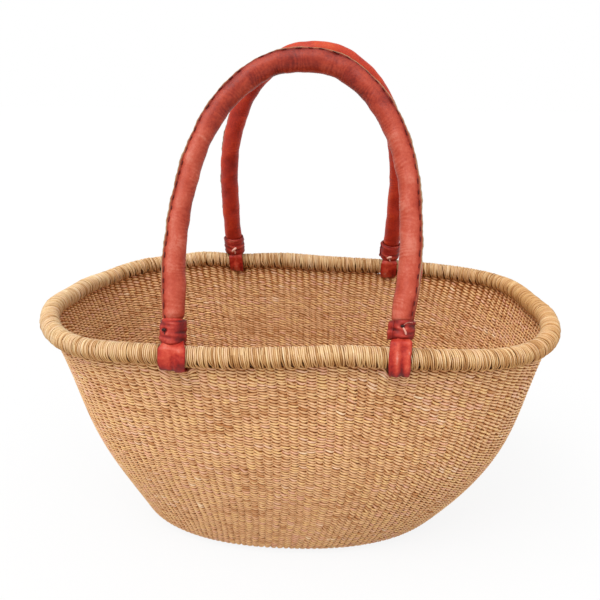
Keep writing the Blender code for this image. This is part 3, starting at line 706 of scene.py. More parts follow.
def stake_pieces(look):
    """The stakes that the strands twist round: flat bundles up the middle of the sheet into the rim.

    A section is an ellipse as wide as the stake's share of the sheet, worked out from the places of its
    neighbours at the same height. Every second stake ends, and then every second again, near the middle.
    """
    stakes = np.arange(STAKES, dtype=float)
    line = profile(stake_angles(stakes))
    lengths = line_lengths(line)
    weight, sag = slot_room(line[-1])
    upper = np.where(weight > 0.98, LOOP_RADIUS + sag, 0.0)
    inner = np.where(stakes % 4 == 0, STAKE_TIP, np.where(stakes % 2 == 0, STAKE_ENDS[0], STAKE_ENDS[1]))
    share = np.linspace(0.0, 1.0, STAKE_POINTS)[:, None]
    drops = upper + (lengths - inner - upper) * share
    places = along_profile(line, drops)
    down = unit(np.gradient(places, axis=0))
    reach = along_profile(np.roll(line, -1, axis=1), drops) - along_profile(np.roll(line, 1, axis=1), drops)
    crowd = np.where(lengths - drops < STAKE_ENDS[0], 4, np.where(lengths - drops < STAKE_ENDS[1], 2, 1))
    wide = STAKE_FILL * crowd * np.linalg.norm(reach, axis=-1) / 4
    beside = unit(reach - down * np.sum(down * reach, axis=-1, keepdims=True))
    out = np.cross(beside, -down)
    turns = 2 * math.pi * np.arange(STAKE_SIDES) / STAKE_SIDES
    rings = tube(places, out, beside, np.full(drops.shape, STAKE_RADIUS), wide, turns).transpose(1, 0, 2, 3)
    along = np.linspace(0.0, STAKE_POINTS, STAKE_POINTS)
    across = stakes[:, None] + np.linspace(0.0, 0.999, STAKE_SIDES + 1)
    # The stakes' relief of 0.2 paints them darker, as painted shade, since they lie behind the strands
    mesh = grid_mesh("stakes", rings, along[None], across, np.array(0.2), capped=True)
    piece("stakes", mesh, look, "basket")


def rim_frame(stakes):
    """Middle of the rim, its direction down the wall and its sideways direction, at stake coordinates."""
    middle = wall_point(stake_angles(stakes), 1.0)
    ahead = unit(wall_point(stake_angles(stakes + 0.05), 1.0) - wall_point(stake_angles(stakes - 0.05), 1.0))
    down = wall_point(stake_angles(stakes), 1 - SHARE_STEP) - middle
    down = unit(down - ahead * np.sum(down * ahead, axis=-1, keepdims=True))
    return middle, down, ahead, np.cross(down, ahead)


def rim_pieces(look):
    """Straw wrapped round the rim: leaning turns that spread over its top and gather at each gap below.

    The turn t runs round the rim from its underside, by the outside. A wrap's stake coordinate moves
    from its gathered place below to its spread place on top, by an eased step over the rim's outer and
    inner sides, and falls with t for its lean. It wavers by sines of t, more at the sides than on top,
    so that the gaps between neighbours open and close. Its ends lie in the gap over the weave.
    """
    count = STAKES * WRAPS_PER_STAKE
    number = np.arange(count)
    group = number // WRAPS_PER_STAKE + 0.5
    place = (number % WRAPS_PER_STAKE - (WRAPS_PER_STAKE - 1) / 2) / WRAPS_PER_STAKE
    place = place + 0.012 * RNG.normal(size=count)
    end = math.radians(WRAP_END_DEG)
    turn = np.linspace(end, 2 * math.pi - end, WRAP_POINTS)
    on_top = smooth_step((np.minimum(turn, 2 * math.pi - turn) - 0.55) / 1.5)
    spread = WRAP_GATHER + (1 - WRAP_GATHER) * on_top
    waver = 0.0
    for beats, size in ((1, 0.020), (2, 0.024), (3, 0.026), (5, 0.022)):
        shift = 2 * math.pi * RNG.random(size=(count, 1))
        waver = waver + size * RNG.normal(size=(count, 1)) * np.sin(beats * turn + shift)
    lean = -WRAP_LEAN * (turn - math.pi) / (2 * math.pi)
    stakes = group[:, None] + place[:, None] * spread + waver * (1.7 - 1.35 * on_top) + lean
    middle, down, ahead, side = rim_frame(stakes)
    outward = np.cos(turn)[:, None] * down + np.sin(turn)[:, None] * side
    thick = WRAP_THICKNESS / 2 * (1 + 0.12 * RNG.normal(size=(count, 1)))
    lift = 0.00013 * RNG.normal(size=(count, 1)) + 0.00010 * RNG.normal(size=(count, 1)) * np.sin(3 * turn)
    swell_turn, swell_spread, swell = RIM_SWELL
    facing = np.degrees(stake_angles(stakes))
    lift = np.clip(lift, -0.0005, 0.0003) + swell / 1000 * np.exp(-(((facing - swell_turn) / swell_spread) ** 2))
    radius = RIM_RADIUS - WRAP_THICKNESS / 2 + lift
    path = middle + radius[..., None] * outward
    wide = WRAP_WIDTH / 2 * (1 + 0.12 * RNG.normal(size=(count, 1))) * np.ones(WRAP_POINTS)
    turns = 2 * math.pi * np.arange(4) / 4
    rings = tube(path, outward, ahead, thick * np.ones(WRAP_POINTS), wide, turns)
    # Painted shade: each wrap darker towards its edges, between the wraps; the rim darker on its lower side, most on
    # the outside, partly as staining and partly as painted shade; and darker over one end, as painted shade.
    above = smooth_step((np.minimum(turn, 2 * math.pi - turn) - 1.15) / 1.25)[:, None]
    low = np.where(turn < math.pi, 0.70, 0.92)[:, None]
    edges = 0.38 + 0.10 * above
    end_shade_turn, end_shade_spread, end_shade = RIM_END_SHADE
    brown = (np.mod(facing - end_shade_turn + 180, 360) - 180) / end_shade_spread
    end_shade = (1 - end_shade * np.exp(-(brown**2)))[..., None]
    relief = np.clip(edges + (1 - edges) * np.cos(turns), 0.0, 1.0) * (low + (1 - low) * above) * end_shade
    along = np.linspace(0.0, 4.0, WRAP_POINTS)
    across = number[:, None] + np.linspace(0.0, 0.999, 5)
    mesh = grid_mesh("rim_wraps", rings, along[None], across, relief, capped=True)
    piece("rim_wraps", mesh, look, "basket", ["rim_binding"])


def rim_bundle_piece(look):
    """Grass bundle in the rim, once round it."""
    stakes = np.linspace(0.0, STAKES, 3 * BUNDLE_POINTS + 1)
    middle, down, _, side = rim_frame(stakes)
    run = np.concatenate([[0.0], np.cumsum(np.linalg.norm(np.diff(middle, axis=0), axis=1))])
    bundle_piece("rim_core", "basket", middle, side, down, RIM_BUNDLE_RADIUS, run, look, closed=True)


def bundle_piece(name, body, path, side, lift, reach, along, look, closed=False):
    """Grass bundled inside the leather or the rim: stalks that wind round the bundle's middle line.

    Each stalk keeps its own place in the section, one in the middle, five round it and eleven outside,
    and the whole section turns steadily with the running length.
    """
    layers = ((1, 0.0), (5, 0.40), (11, 0.80))
    shares = np.concatenate([np.full(count, share) for count, share in layers])
    starts = np.concatenate([2 * math.pi * np.arange(count) / count for count, _ in layers])
    turns = starts[:, None] + along / along[-1] * 2 * math.pi * max(1, round(along[-1] / BUNDLE_TWIST))
    away = np.cos(turns)[..., None] * side + np.sin(turns)[..., None] * lift
    lines = path + (shares[:, None] * reach)[..., None] * away
    radius = np.full(lines.shape[:2], 0.21 * reach)
    section = 2 * math.pi * np.arange(BUNDLE_SIDES) / BUNDLE_SIDES
    rings = tube(lines, np.broadcast_to(side, lines.shape), np.broadcast_to(lift, lines.shape), radius, radius, section)
    if closed:
        rings = rings[:, :-1]
    across = np.arange(len(starts))[:, None] + np.linspace(0.0, 0.999, BUNDLE_SIDES + 1)
    mesh = grid_mesh(name, rings, along[None], across, np.array(0.5), wrap_rows=closed, capped=not closed)
    piece(f"{name}_stalks", mesh, look, body, [name])


# The handles: leather sewn round a grass bundle, with its two edges standing proud along the outside


def rim_place(x, side):
    """Point of the rim's middle line at a given x, on the front (-1) or rear (1) side."""
    y = side * RIM_HALF[1] * (1 - abs(x / RIM_HALF[0]) ** RIM_POWER) ** (1 / RIM_POWER)
    return np.array([x, y, rim_height(x, y)])


def from_handle(handle, places):
    """Places in a handle's own axes, along its turning line, through its arch and up it, put in the frame."""
    left, right = (rim_place(handle["offset"] + sign * HALF_SPAN, handle["side"]) for sign in (-1, 1))
    along = unit(right - left)
    upright = unit(np.array([0.0, 0.0, 1.0]) - along * along[2])
    ahead = np.cross(upright, along)
    lean = math.radians(handle["side"] * handle["lean_deg"])
    through = math.cos(lean) * ahead + math.sin(lean) * upright
    up = math.cos(lean) * upright - math.sin(lean) * ahead
    return (left + right) / 2 + places @ np.stack([along, through, up])


def arch_line(handle):
    """Dense middle line of a handle's arch in its own axes, from left foot to right foot."""
    turn = np.linspace(0.0, math.pi, 2001)
    rise = np.sin(turn) ** (2 / ARCH_RISE_POWER)
    bulge = 1 + ARCH_BULGE_SHARE * np.sin(math.pi * rise) + ARCH_LOW_BULGE_SHARE * np.sin(2 * math.pi * rise)
    reach = -np.sign(np.cos(turn)) * np.abs(np.cos(turn)) ** (2 / ARCH_WIDTH_POWER)
    low, high = FOOT_SHIFT_RISES
    near = smooth_step((high - handle["height"] * rise) / (high - low))
    shift = np.where(turn < math.pi / 2, *handle["foot_shift"]) * near
    shoulder = smooth_step((rise - 0.32) / 0.25) * (1 - smooth_step((rise - 0.80) / 0.20))
    shift = shift + np.where(turn < math.pi / 2, *handle["shoulder_shift"]) * shoulder
    x = HALF_SPAN * bulge * reach + handle["top_drift"] * rise + shift
    top, sides = handle["drop"]
    wide = np.where(turn < math.pi / 2, 0.06, 0.09)
    drop = top * smooth_step((rise - 0.8) / 0.2) + sides * np.exp(-(((1 - wide - rise) / wide) ** 2))
    return np.stack([x, 0 * x, handle["height"] * rise - drop], axis=-1)


def foot_line(handle, sign, heights):
    """X of the arch's middle line over one foot (-1 left, 1 right) at the given heights."""
    dense = arch_line(handle)[::-sign]
    lower = dense[: len(dense) // 2]
    return np.interp(heights, lower[:, 2], lower[:, 0])


def arch_frame(handle, rise, count):
    """Evenly spaced points of the arch above a height, its outward directions and running lengths."""
    dense = arch_line(handle)
    run = np.concatenate([[0.0], np.cumsum(np.linalg.norm(np.diff(dense, axis=0), axis=1))])
    middle = len(dense) // 2
    start = np.interp(rise, dense[:middle, 2], run[:middle])
    end = np.interp(rise, dense[:middle:-1, 2], run[:middle:-1])
    wanted = np.linspace(start, end, count)
    line = np.stack([np.interp(wanted, run, dense[:, axis]) for axis in range(3)], axis=-1)
    ahead = unit(np.gradient(line, axis=0))
    outer = np.stack([-ahead[:, 2], 0 * wanted, ahead[:, 0]], axis=-1)
    return line, outer, wanted - start


def leather_frame(handle, rise, count):
    """An arch's points, outward directions and running lengths, with its girth and with its slack taken in.

    The leather is drawn in under the collars, swells above them and is a little slimmer on the legs
    than on top. Where it is slim its middle lies nearer the inside of the arch.
    """
    line, outer, run = arch_frame(handle, rise, count)
    height = np.minimum(line[:, 2] / handle["height"], 1.0)
    side = np.sign(run - run[-1] / 2)
    slim = handle["slim"][0] * (side < 0) + handle["slim"][1] * (side > 0)
    slim = slim * np.interp(height, (0.18, 0.45, 0.72, 1.0), (0.0, 1.0, 1.0, 0.1))
    swell = 0.7 * smooth_step((line[:, 2] - STRAP_RISE + 0.0005) / 0.0045)
    swell = swell + 0.3 * smooth_step((line[:, 2] - STRAP_RISE) / LEATHER_SWELL_RISE)
    foot = FOOT_RADIUS + np.where(side < 0, *handle["girth"])
    radius = foot + (HANDLE_RADIUS - slim - foot) * swell
    leg = 1 - smooth_step((height - 0.60) / 0.35)
    return line - (0.8 * slim)[:, None] * outer, outer, run, radius, leg


def handle_bundle_piece(name, handle, look):
    """Grass bundle in a handle, along the middle of its leather from foot to foot."""
    line, outer, run, _, _ = leather_frame(handle, HANDLE_FOOT_RISE + 0.002, BUNDLE_POINTS)
    places = from_handle(handle, line)
    side = unit(from_handle(handle, line + outer) - places)
    lift = unit(np.cross(unit(np.gradient(places, axis=0)), side))
    bundle_piece(f"{name}_handle_core", f"{name}_handle", places, side, lift, HANDLE_BUNDLE_RADIUS, run, look)


def waves(along, turns, parts):
    """Sum of sine waves over a tube: each has its length, whole turns round, height and phase."""
    total = 0.0
    for length, count, height, phase in parts:
        total = total + height * np.sin(2 * math.pi * along / length + count * turns + phase)
    return total


def sleeve_piece(name, handle, look):
    """Leather round a handle: a tube with soft lumps, fine wrinkles across it and a ridge at its seam.

    The radius is the handle's own plus long waves, plus short ones that crowd on the inside of the
    arch, where the leather is squeezed, plus a bell over the seam's direction.
    """
    line, outer, run, girth, leg = leather_frame(handle, HANDLE_FOOT_RISE, SLEEVE_RINGS)
    turns = 2 * math.pi * np.arange(SLEEVE_SIDES)[None] / SLEEVE_SIDES
    along = run[:, None] + handle["grain_shift"]
    lumps = waves(along, turns, ((0.083, 1, 0.00024, 0.3), (0.047, -2, 0.00020, 1.9), (0.029, 2, 0.00016, 4.0),
                                 (0.019, -1, 0.00011, 2.7), (0.0127, 3, 0.00008, 5.2)))
    stray = waves(along, turns, ((0.021, 1, 1.6, 0.0), (0.034, -2, 1.3, 1.0), (0.009, 2, 0.5, 2.0)))
    squeeze = 0.20 - 0.60 * np.cos(turns) + waves(along, turns, ((0.037, 1, 0.30, 2.0), (0.023, -1, 0.22, 0.4)))
    wrinkles = 0.00006 * np.clip(squeeze, 0.0, 1.2) * np.sin(2 * math.pi * along / 0.0034 + 1.6 * stray)
    turn = np.radians(SEAM_TURN_DEG + handle["leg_turn_deg"] * leg)[:, None]
    seam = 0.0005 * np.exp(-(((turns - turn) / 0.17) ** 2))
    end = np.clip(np.minimum(run, run[-1] - run) / SLEEVE_END, 0.0, 1.0)[:, None]
    rounding = np.sqrt(np.clip(1 - (1 - end) ** 2, 0.02, 1.0))
    radius = (girth[:, None] + lumps + wrinkles + seam) * rounding
    side = np.array([0.0, handle["side"], 0.0])
    aside = np.cos(turns)[..., None] * outer[:, None] + np.sin(turns)[..., None] * side
    places = from_handle(handle, line[:, None] + radius[..., None] * aside)
    # Painted light and shade: light makes one side of the legs paler and the other darker, the lumps and wrinkles are
    # paler on their crests and darker in their troughs, the legs are paler than the top, the crown makes the top paler,
    # most on its outer side, and the groove beside the seam is a painted shadow.
    light = 0.26 * np.sin(turns) + 0.12 * np.cos(turns) * np.where(run < run[-1] / 2, 1, -1)[:, None]
    relief = 0.28 + (0.26 + light) * leg[:, None] + lumps / 0.0030 + wrinkles / 0.0005
    relief = relief + handle["crown"] * (0.6 + 0.4 * np.cos(turns)) * (1 - leg[:, None])
    relief = relief - 0.45 * np.exp(-(((turns - turn) / 0.24) ** 2))
    across = np.linspace(0.0, 1.0, SLEEVE_SIDES + 1)
    mesh = grid_mesh(name, places[None], run[None], across[None], relief[None], capped=True)
    piece(f"{name}_handle_sleeve", mesh, look, f"{name}_handle", [f"{name}_handle_leather"])


def seam_pieces(name, handle, edge_look, thread_look):
    """The two leather edges that stand along the seam, and the running stitch through them.

    The edges are one section carried along the seam's root, a little higher and lower by hand. The
    thread goes from one side of them to the other as a flattened sine of its running length.
    """
    line, outer, run, girth, leg = leather_frame(handle, COLLAR_TOP_RISE - 0.003, FLANGE_RINGS)
    side = np.array([0.0, handle["side"], 0.0])
    turn = np.radians(SEAM_TURN_DEG + handle["leg_turn_deg"] * leg)[:, None]
    along = run + handle["grain_shift"]
    wobble = waves(along, 0.0, ((0.061, 0, 0.10, 0.5), (0.023, 0, 0.08, 2.1), (0.0092, 0, 0.05, 4.0)))
    grow = 1 + waves(along, 0.0, ((0.043, 0, 0.12, 1.2), (0.0171, 0, 0.09, 3.3), (0.0061, 0, 0.06, 0.2)))
    grow = grow * (0.82 + FLANGE_LEG_GROWTH * leg)
    end = smooth_step(np.minimum(run, run[-1] - run) / 0.045)
    lean = np.radians(FLANGE_TURN_DEG + 0.4 * handle["leg_turn_deg"] * leg) + wobble
    up = np.cos(lean)[:, None] * outer + np.sin(lean)[:, None] * side
    beside = np.cos(lean)[:, None] * side - np.sin(lean)[:, None] * outer
    depth = girth - 0.0004
    root = line + depth[:, None] * (np.cos(turn) * outer + np.sin(turn) * side)
    section = np.array(FLANGE_SECTION)
    high = np.maximum(section[:, 1], 0) * (grow * (0.35 + 0.65 * end))[:, None] + np.minimum(section[:, 1], 0)
    places = root[:, None] + (high[..., None] * up[:, None] + section[:, :1] * beside[:, None]) / 1000
    across = np.linspace(0.0, 1.0, len(section) + 1)
    relief = section[:, 2] * (0.25 + 0.75 * end)[:, None]
    mesh = grid_mesh(name, from_handle(handle, places)[None], run[None], across[None], relief[None],
                     capped=True)
    piece(f"{name}_seam_edges", mesh, edge_look, f"{name}_handle", [f"{name}_seam_lace"])
    fine = np.linspace(0.0, run[-1], THREAD_RINGS)
    root, up, beside = (np.stack([np.interp(fine, run, part[:, axis]) for axis in range(3)], axis=-1)
                        for part in (root, unit(up), unit(beside)))
    stitch = 2 * math.pi * (fine + 0.0011 * np.sin(2 * math.pi * fine / 0.031)) / THREAD_STEP
    away = THREAD_AWAY * np.tanh(3.5 * np.sin(stitch)) / math.tanh(3.5)
    path = root + (THREAD_RISE + 0.0001 * np.cos(stitch))[:, None] * up + away[:, None] * beside
    turns = 2 * math.pi * np.arange(THREAD_SIDES) / THREAD_SIDES
    radius = np.full(THREAD_RINGS, THREAD_RADIUS)
    rings = tube(path, up, beside, radius, radius, turns)
    across = np.linspace(0.0, 1.0, THREAD_SIDES + 1)
    mesh = grid_mesh(name, from_handle(handle, rings)[None], fine[None], across[None], np.array(0.3),
                     capped=True)
    piece(f"{name}_seam_thread", mesh, thread_look, f"{name}_handle")


def spots(parts, across, along):
    """Sum of round bells: each has its place across and along, its half width and length, and its size."""
    total = 0.0
    for place, far, wide, long, size in parts:
        total = total + size * np.exp(-(((across - place) / wide) ** 2) - ((along - far) / long) ** 2)
    return total


def loop_piece(name, foot, handle, sign, look):
    """Strap round the rim: from under the collar down, round the rim's underside and up the other side.

    The running length s is 0 under the rim and grows towards the photograph's side. The strap is a half
    circle under the rim, straight beside it and curved round the handle's end under the collar. Where
    that would come nearer to the turning line than the loop's radius, it is pushed out to that radius.
    Ridges and the edge of its folded-over panel are added along the surface's own direction outwards.
    """
    quarter = math.pi * LOOP_RADIUS / 2
    reach = quarter + STRAP_RISE
    run = np.linspace(-reach, reach, LOOP_ROWS)[:, None]
    share = np.linspace(-1.0, 1.0, LOOP_COLUMNS)[None]
    near = np.clip(run / quarter, 0.0, 1.0)
    deep = LOOP_RADIUS + foot["sag"] * (SAG_AT_WALL_SHARE + (1 - SAG_AT_WALL_SHARE) * np.sin(math.pi * near))
    height = np.where(np.abs(run) < quarter, -deep * np.cos(run / LOOP_RADIUS), np.abs(run) - quarter)
    low = foot["collar"][0] + np.sign(run) * -foot["collar_drop"]
    held = smooth_step((height - low + 0.0005) / 0.005)
    waist = 1 - UNDERSIDE_WAIST * np.where(np.abs(run) < quarter, np.cos(run / LOOP_RADIUS) ** 4, 0.0)
    across = share * STRAP_WIDTH / 2 * waist * (foot["loop_width"] + (1 - foot["loop_width"]) * held)
    flap_radius = FOOT_RADIUS + foot["girth"] + 0.0011
    gather = np.where(run < 0, FAR_GATHER, NEAR_GATHER)
    hug = smooth_step((height - low + gather) / (gather - 0.0001))
    x = hug * flap_radius * np.sin(across / flap_radius) + (1 - hug) * across
    bow = np.where(np.abs(run) < quarter, np.abs(np.sin(run / LOOP_RADIUS)), 1.0)
    y = -np.sign(run) * (hug * flap_radius * np.cos(across / flap_radius) + (1 - hug) * LOOP_RADIUS * bow)
    middle = foot_line(handle, sign, np.maximum(height, 0.0)) + foot["loop_shift"] * (1 - held)
    middle = middle + sign * FAR_SHIFT * smooth_step(-run / quarter) * (1 - held)
    away = np.maximum(LOOP_RADIUS / np.hypot(y, height), 1.0)
    sheet = np.stack(np.broadcast_arrays(middle + x, y * away, height * away), axis=-1)
    outward = unit(np.cross(np.gradient(sheet, axis=1), np.gradient(sheet, axis=0)))
    outward = outward * np.sign(outward[LOOP_ROWS // 2, LOOP_COLUMNS // 2, 2]) * -1
    edge, top, rise = foot["panel"]
    panel = rise * smooth_step((share - edge) / 0.12) * smooth_step((top - run) / 0.003) * (run > -0.02)
    folds = panel + spots(foot["folds"], share, run)
    folds = folds + waves(run, 3.1 * share, ((0.019, 1, 0.00018, foot["phase"]), (0.0093, -1, 0.00012, 2.0),
                                             (0.0051, 2, 0.00006, 1.0)))
    folds = folds * smooth_step((reach - np.abs(run)) / 0.012 + 0.1)
    half = STRAP_THICKNESS / 2 * (1 - 0.65 * np.abs(share) ** 10)
    outer = sheet + (folds + half)[..., None] * outward
    inner = sheet + (np.maximum(folds, -0.0003) - half)[..., None] * outward
    places = np.concatenate([outer, inner[:, ::-1]], axis=1)
    # Painted light and shade: the folds paler on their crests and darker in their troughs, the strap darker at its
    # edges, plus each foot's painted highlights and shade
    relief = 0.45 + (folds - 0.9 * panel) / 0.003 - 0.2 * np.abs(share) ** 8 + spots(foot["loop_light_and_shade"], share, run)
    relief = np.clip(relief, -0.2, 1.4)
    relief = np.concatenate([relief, relief[:, ::-1]], axis=1)
    columns = np.linspace(0.0, 1.0, 2 * LOOP_COLUMNS + 1)
    mesh = grid_mesh(foot["name"], from_handle(handle, places)[None], run.T + reach, columns[None], relief[None],
                     capped=True)
    piece(f"{foot['name']}_strap", mesh, look, f"{name}_handle", [f"{foot['name']}_rim_loop"])


def collar_line(handle, sign, foot, turns, height):
    """Places round a foot's middle line at angles from the photograph's side towards the right."""
    middle = foot_line(handle, sign, height)
    outward = np.stack(np.broadcast_arrays(np.sin(turns), -np.cos(turns), 0 * height), axis=-1)
    return np.stack(np.broadcast_arrays(middle, 0 * height, height), axis=-1), outward


def collar_piece(name, foot, handle, sign, look):
    """Strip wound once round a foot over the strap's ends, its outer end lying over its inner one.

    The radius steps up by one thickness where the ends overlap. Creases run round it, its edges are
    drawn in, and a dent lies where the thong goes in. Its lower edge stays clear of the rim as it turns.
    """
    start = foot["collar_start"]
    snug = COLLAR_INNER + foot["girth"]
    turns = start + np.linspace(0.0, 2 * math.pi + COLLAR_OVERLAP, COLLAR_ROWS)[:, None]
    across = np.linspace(-1.0, 1.0, COLLAR_COLUMNS)[None]
    low, high = foot["collar"]
    tilt = foot["collar_tilt"] * np.sin(turns) + 0.0004 * np.sin(2 * turns + foot["phase"])
    tilt = tilt - foot["collar_drop"] * np.cos(turns)
    clear = np.sqrt(np.maximum(COLLAR_CLEAR**2 - (snug * np.cos(turns)) ** 2, 0.0))
    bottom = np.maximum(low + tilt, clear)
    height = bottom + (high + tilt - bottom) * (across + 1) / 2
    over = smooth_step((turns - start - 2 * math.pi + 0.35) / 0.35) * COLLAR_THICKNESS
    creases = waves(height + 0.0011 * np.sin(2 * turns + 1.0), turns,
                    ((0.0049, 1, 0.00020, foot["phase"]), (0.0031, -2, 0.00012, 2.2), (0.0078, 2, 0.00022, 0.7)))
    creases = creases + waves(0.0, turns, ((1.0, 3, 0.00016, 1.3), (1.0, 5, 0.00010, foot["phase"])))
    hole_turn, hole_height = foot["hole"]
    wrapped = np.mod(turns - hole_turn + math.pi, 2 * math.pi) - math.pi
    gap = np.hypot(wrapped * snug, height - hole_height) / foot["hole_size"]
    dent = 0.0009 * np.exp(-(gap**2)) - 0.0003 * np.exp(-(((gap - 1.9) / 0.8) ** 2))
    radius = snug + COLLAR_THICKNESS / 2 + over + creases - dent - 0.0004 * np.abs(across) ** 6
    middle, outward = collar_line(handle, sign, foot, turns, height)
    thick = COLLAR_THICKNESS / 2 * (1 - 0.5 * np.abs(across) ** 10)
    outer = middle + (radius + thick)[..., None] * outward
    inner = middle + (radius - thick)[..., None] * outward
    places = np.concatenate([outer, inner[:, ::-1]], axis=1)
    facing = np.mod(turns + math.pi, 2 * math.pi) - math.pi
    # Painted light and shade: paler on the creases' crests, darker in their troughs and in the thong's dent, darker at
    # the drawn-in edges, plus each foot's painted light and shade
    relief = 0.5 + (creases - dent) / 0.0016 - 0.15 * np.abs(across) ** 6 + spots(foot["collar_light_and_shade"], facing, height)
    relief = np.clip(relief, -0.2, 1.4)
    relief = np.concatenate([relief, relief[:, ::-1]], axis=1)
    columns = np.linspace(0.0, 1.0, 2 * COLLAR_COLUMNS + 1)
    along = (turns - start).T * COLLAR_INNER
    mesh = grid_mesh(foot["name"], from_handle(handle, places)[None], along, columns[None], relief[None], capped=True)
    piece(f"{foot['name']}_wrap", mesh, look, f"{name}_handle", [f"{foot['name']}_collar"])


def thong_piece(name, foot, handle, sign, look):
    """Thin thongs at the collar's hole: tubes along Bernstein curves laid on the collar's surface."""
    share = np.linspace(0.0, 1.0, THONG_RINGS)
    tubes = []
    for points, radius, paleness in foot["thongs"]:
        curve = bernstein([np.array(point) / 1000 for point in points], share[:, None])
        hole_turn, hole_height = foot["hole"]
        reach = COLLAR_INNER + foot["girth"] + COLLAR_THICKNESS
        turns = hole_turn + curve[:, 0] / reach
        height = hole_height + curve[:, 1]
        middle, outward = collar_line(handle, sign, foot, turns, height)
        path = middle + (reach + radius / 1000 + curve[:, 2])[:, None] * outward
        ahead = unit(np.gradient(path, axis=0))
        beside = unit(np.cross(ahead, outward))
        lift = np.cross(beside, ahead)
        taper = radius / 1000 * np.sqrt(np.clip(1 - (2 * share - 1) ** 8, 0.05, 1.0))
        angles = 2 * math.pi * np.arange(THONG_SIDES) / THONG_SIDES
        rings = tube(path, beside, lift, taper, 0.8 * taper, angles)
        tubes.append((rings, np.full((THONG_RINGS, THONG_SIDES), paleness)))
    places = np.stack([from_handle(handle, rings) for rings, _ in tubes])
    relief = np.stack([paleness for _, paleness in tubes])
    mesh = grid_mesh(foot["name"], places, share[None] * 0.02, np.linspace(0.0, 1.0, THONG_SIDES + 1)[None], relief,
                     capped=True)
    piece(f"{foot['name']}_tie", mesh, look, f"{name}_handle", [f"{foot['name']}_thong"])


# The plain studio round the basket


def make_camera():
    """Camera at the photograph's place: distance, direction, height, roll and aim."""
    distance = 0.6749
    azimuth = math.radians(2.8265)
    elevation = math.radians(17.5776)
    roll = math.radians(0.4423)
    aim = Vector((-0.0002, 0.0, 0.2173))
    back = Vector((math.sin(azimuth) * math.cos(elevation), -math.cos(azimuth) * math.cos(elevation),
                   math.sin(elevation)))
    data = bpy.data.cameras.new("camera")
    data.sensor_width = 36.0
    data.lens = 40.569
    data.clip_start = 0.01
    data.clip_end = 50.0
    camera = bpy.data.objects.new("camera", data)
    right = Vector((math.cos(azimuth), math.sin(azimuth), 0.0))
    up = right.cross(-back)
    turned_right = right * math.cos(roll) + up * math.sin(roll)
    turned_up = up * math.cos(roll) - right * math.sin(roll)
    axes = Matrix((turned_right, turned_up, back)).transposed().to_4x4()
    camera.matrix_world = Matrix.Translation(aim + back * distance) @ axes
    bpy.context.scene.collection.objects.link(camera)
    bpy.context.scene.camera = camera


def make_floor():
    """Pale floor that the basket stands on, seen nearly white by the camera, with the basket's shadow."""
    look, shader = new_look("studio_floor")
    shader.inputs["Base Color"].default_value = hex_colour("DCDCDC")
    shader.inputs["Roughness"].default_value = 0.9
    shader.inputs["Specular IOR Level"].default_value = 0.0
    white = add_node(look, "ShaderNodeEmission", Color=hex_colour("FFFFFF"), Strength=1.0)
    path = add_node(look, "ShaderNodeLightPath")
    seen = add_node(look, "ShaderNodeMath", {"operation": "MAXIMUM"}, _0=path.outputs["Is Camera Ray"],
                    _1=path.outputs["Is Glossy Ray"])
    seen = add_node(look, "ShaderNodeMath", {"operation": "MAXIMUM"}, _0=seen.outputs[0],
                    _1=path.outputs["Is Transmission Ray"])
    share = add_node(look, "ShaderNodeMath", {"operation": "MULTIPLY"}, _0=seen.outputs[0], _1=FLOOR_WHITENESS)
    mix = add_node(look, "ShaderNodeMixShader", _0=share.outputs[0], _1=shader.outputs[0], _2=white.outputs[0])
    look.node_tree.links.new(mix.outputs[0], look.node_tree.nodes["Material Output"].inputs["Surface"])
    mesh = bpy.data.meshes.new("floor")
    half = 12.0
    mesh.from_pydata([(-half, -half, 0), (half, -half, 0), (half, half, 0), (-half, half, 0)], [], [(0, 1, 2, 3)])
    mesh.materials.append(look)
    floor = bpy.data.objects.new("floor", mesh)
    bpy.context.scene.collection.objects.link(floor)


def make_sun(name, direction, spread_deg, power):
    """Large far softbox: parallel light from a direction, spread over an angle, as even on the floor as on the part."""
    data = bpy.data.lights.new(name, "SUN")
    data.angle = math.radians(spread_deg)
    data.energy = power
    lamp = bpy.data.objects.new(name, data)
    lamp.rotation_mode = "QUATERNION"
    lamp.rotation_quaternion = Vector(direction).to_track_quat("Z", "Y")
    bpy.context.scene.collection.objects.link(lamp)


def make_world(strength):
    """Even light all round, seen as plain white by the camera and in reflections."""
    world = bpy.data.worlds.new("studio")
    bpy.context.scene.world = world
    world.use_nodes = True
    nodes = world.node_tree.nodes
    links = world.node_tree.links
    light = nodes["Background"]
    light.inputs["Color"].default_value = hex_colour("FFFFFF")
    light.inputs["Strength"].default_value = strength
    shown = nodes.new("ShaderNodeBackground")
    shown.inputs["Color"].default_value = hex_colour("FFFFFF")
    shown.inputs["Strength"].default_value = 1.0
    path = nodes.new("ShaderNodeLightPath")
    seen = path.outputs["Is Camera Ray"]
    for kind in ("Is Glossy Ray", "Is Transmission Ray"):
        either = nodes.new("ShaderNodeMath")
        either.operation = "MAXIMUM"
        links.new(seen, either.inputs[0])
        links.new(path.outputs[kind], either.inputs[1])
        seen = either.outputs[0]
    mix = nodes.new("ShaderNodeMixShader")
    links.new(seen, mix.inputs[0])
    links.new(light.outputs[0], mix.inputs[1])
    links.new(shown.outputs[0], mix.inputs[2])
    links.new(mix.outputs[0], nodes["World Output"].inputs["Surface"])


bpy.context.scene.view_settings.view_transform = "Standard"
make_camera()
make_floor()
make_world(0.71)
make_sun("key_lamp", (-0.75, -0.70, 1.50), 45.0, 1.92)
make_sun("side_lamp", (1.0, -0.9, 0.9), 45.0, 0.30)
make_sun("top_lamp", (0.10, -0.35, 1.0), 60.0, 0.66)

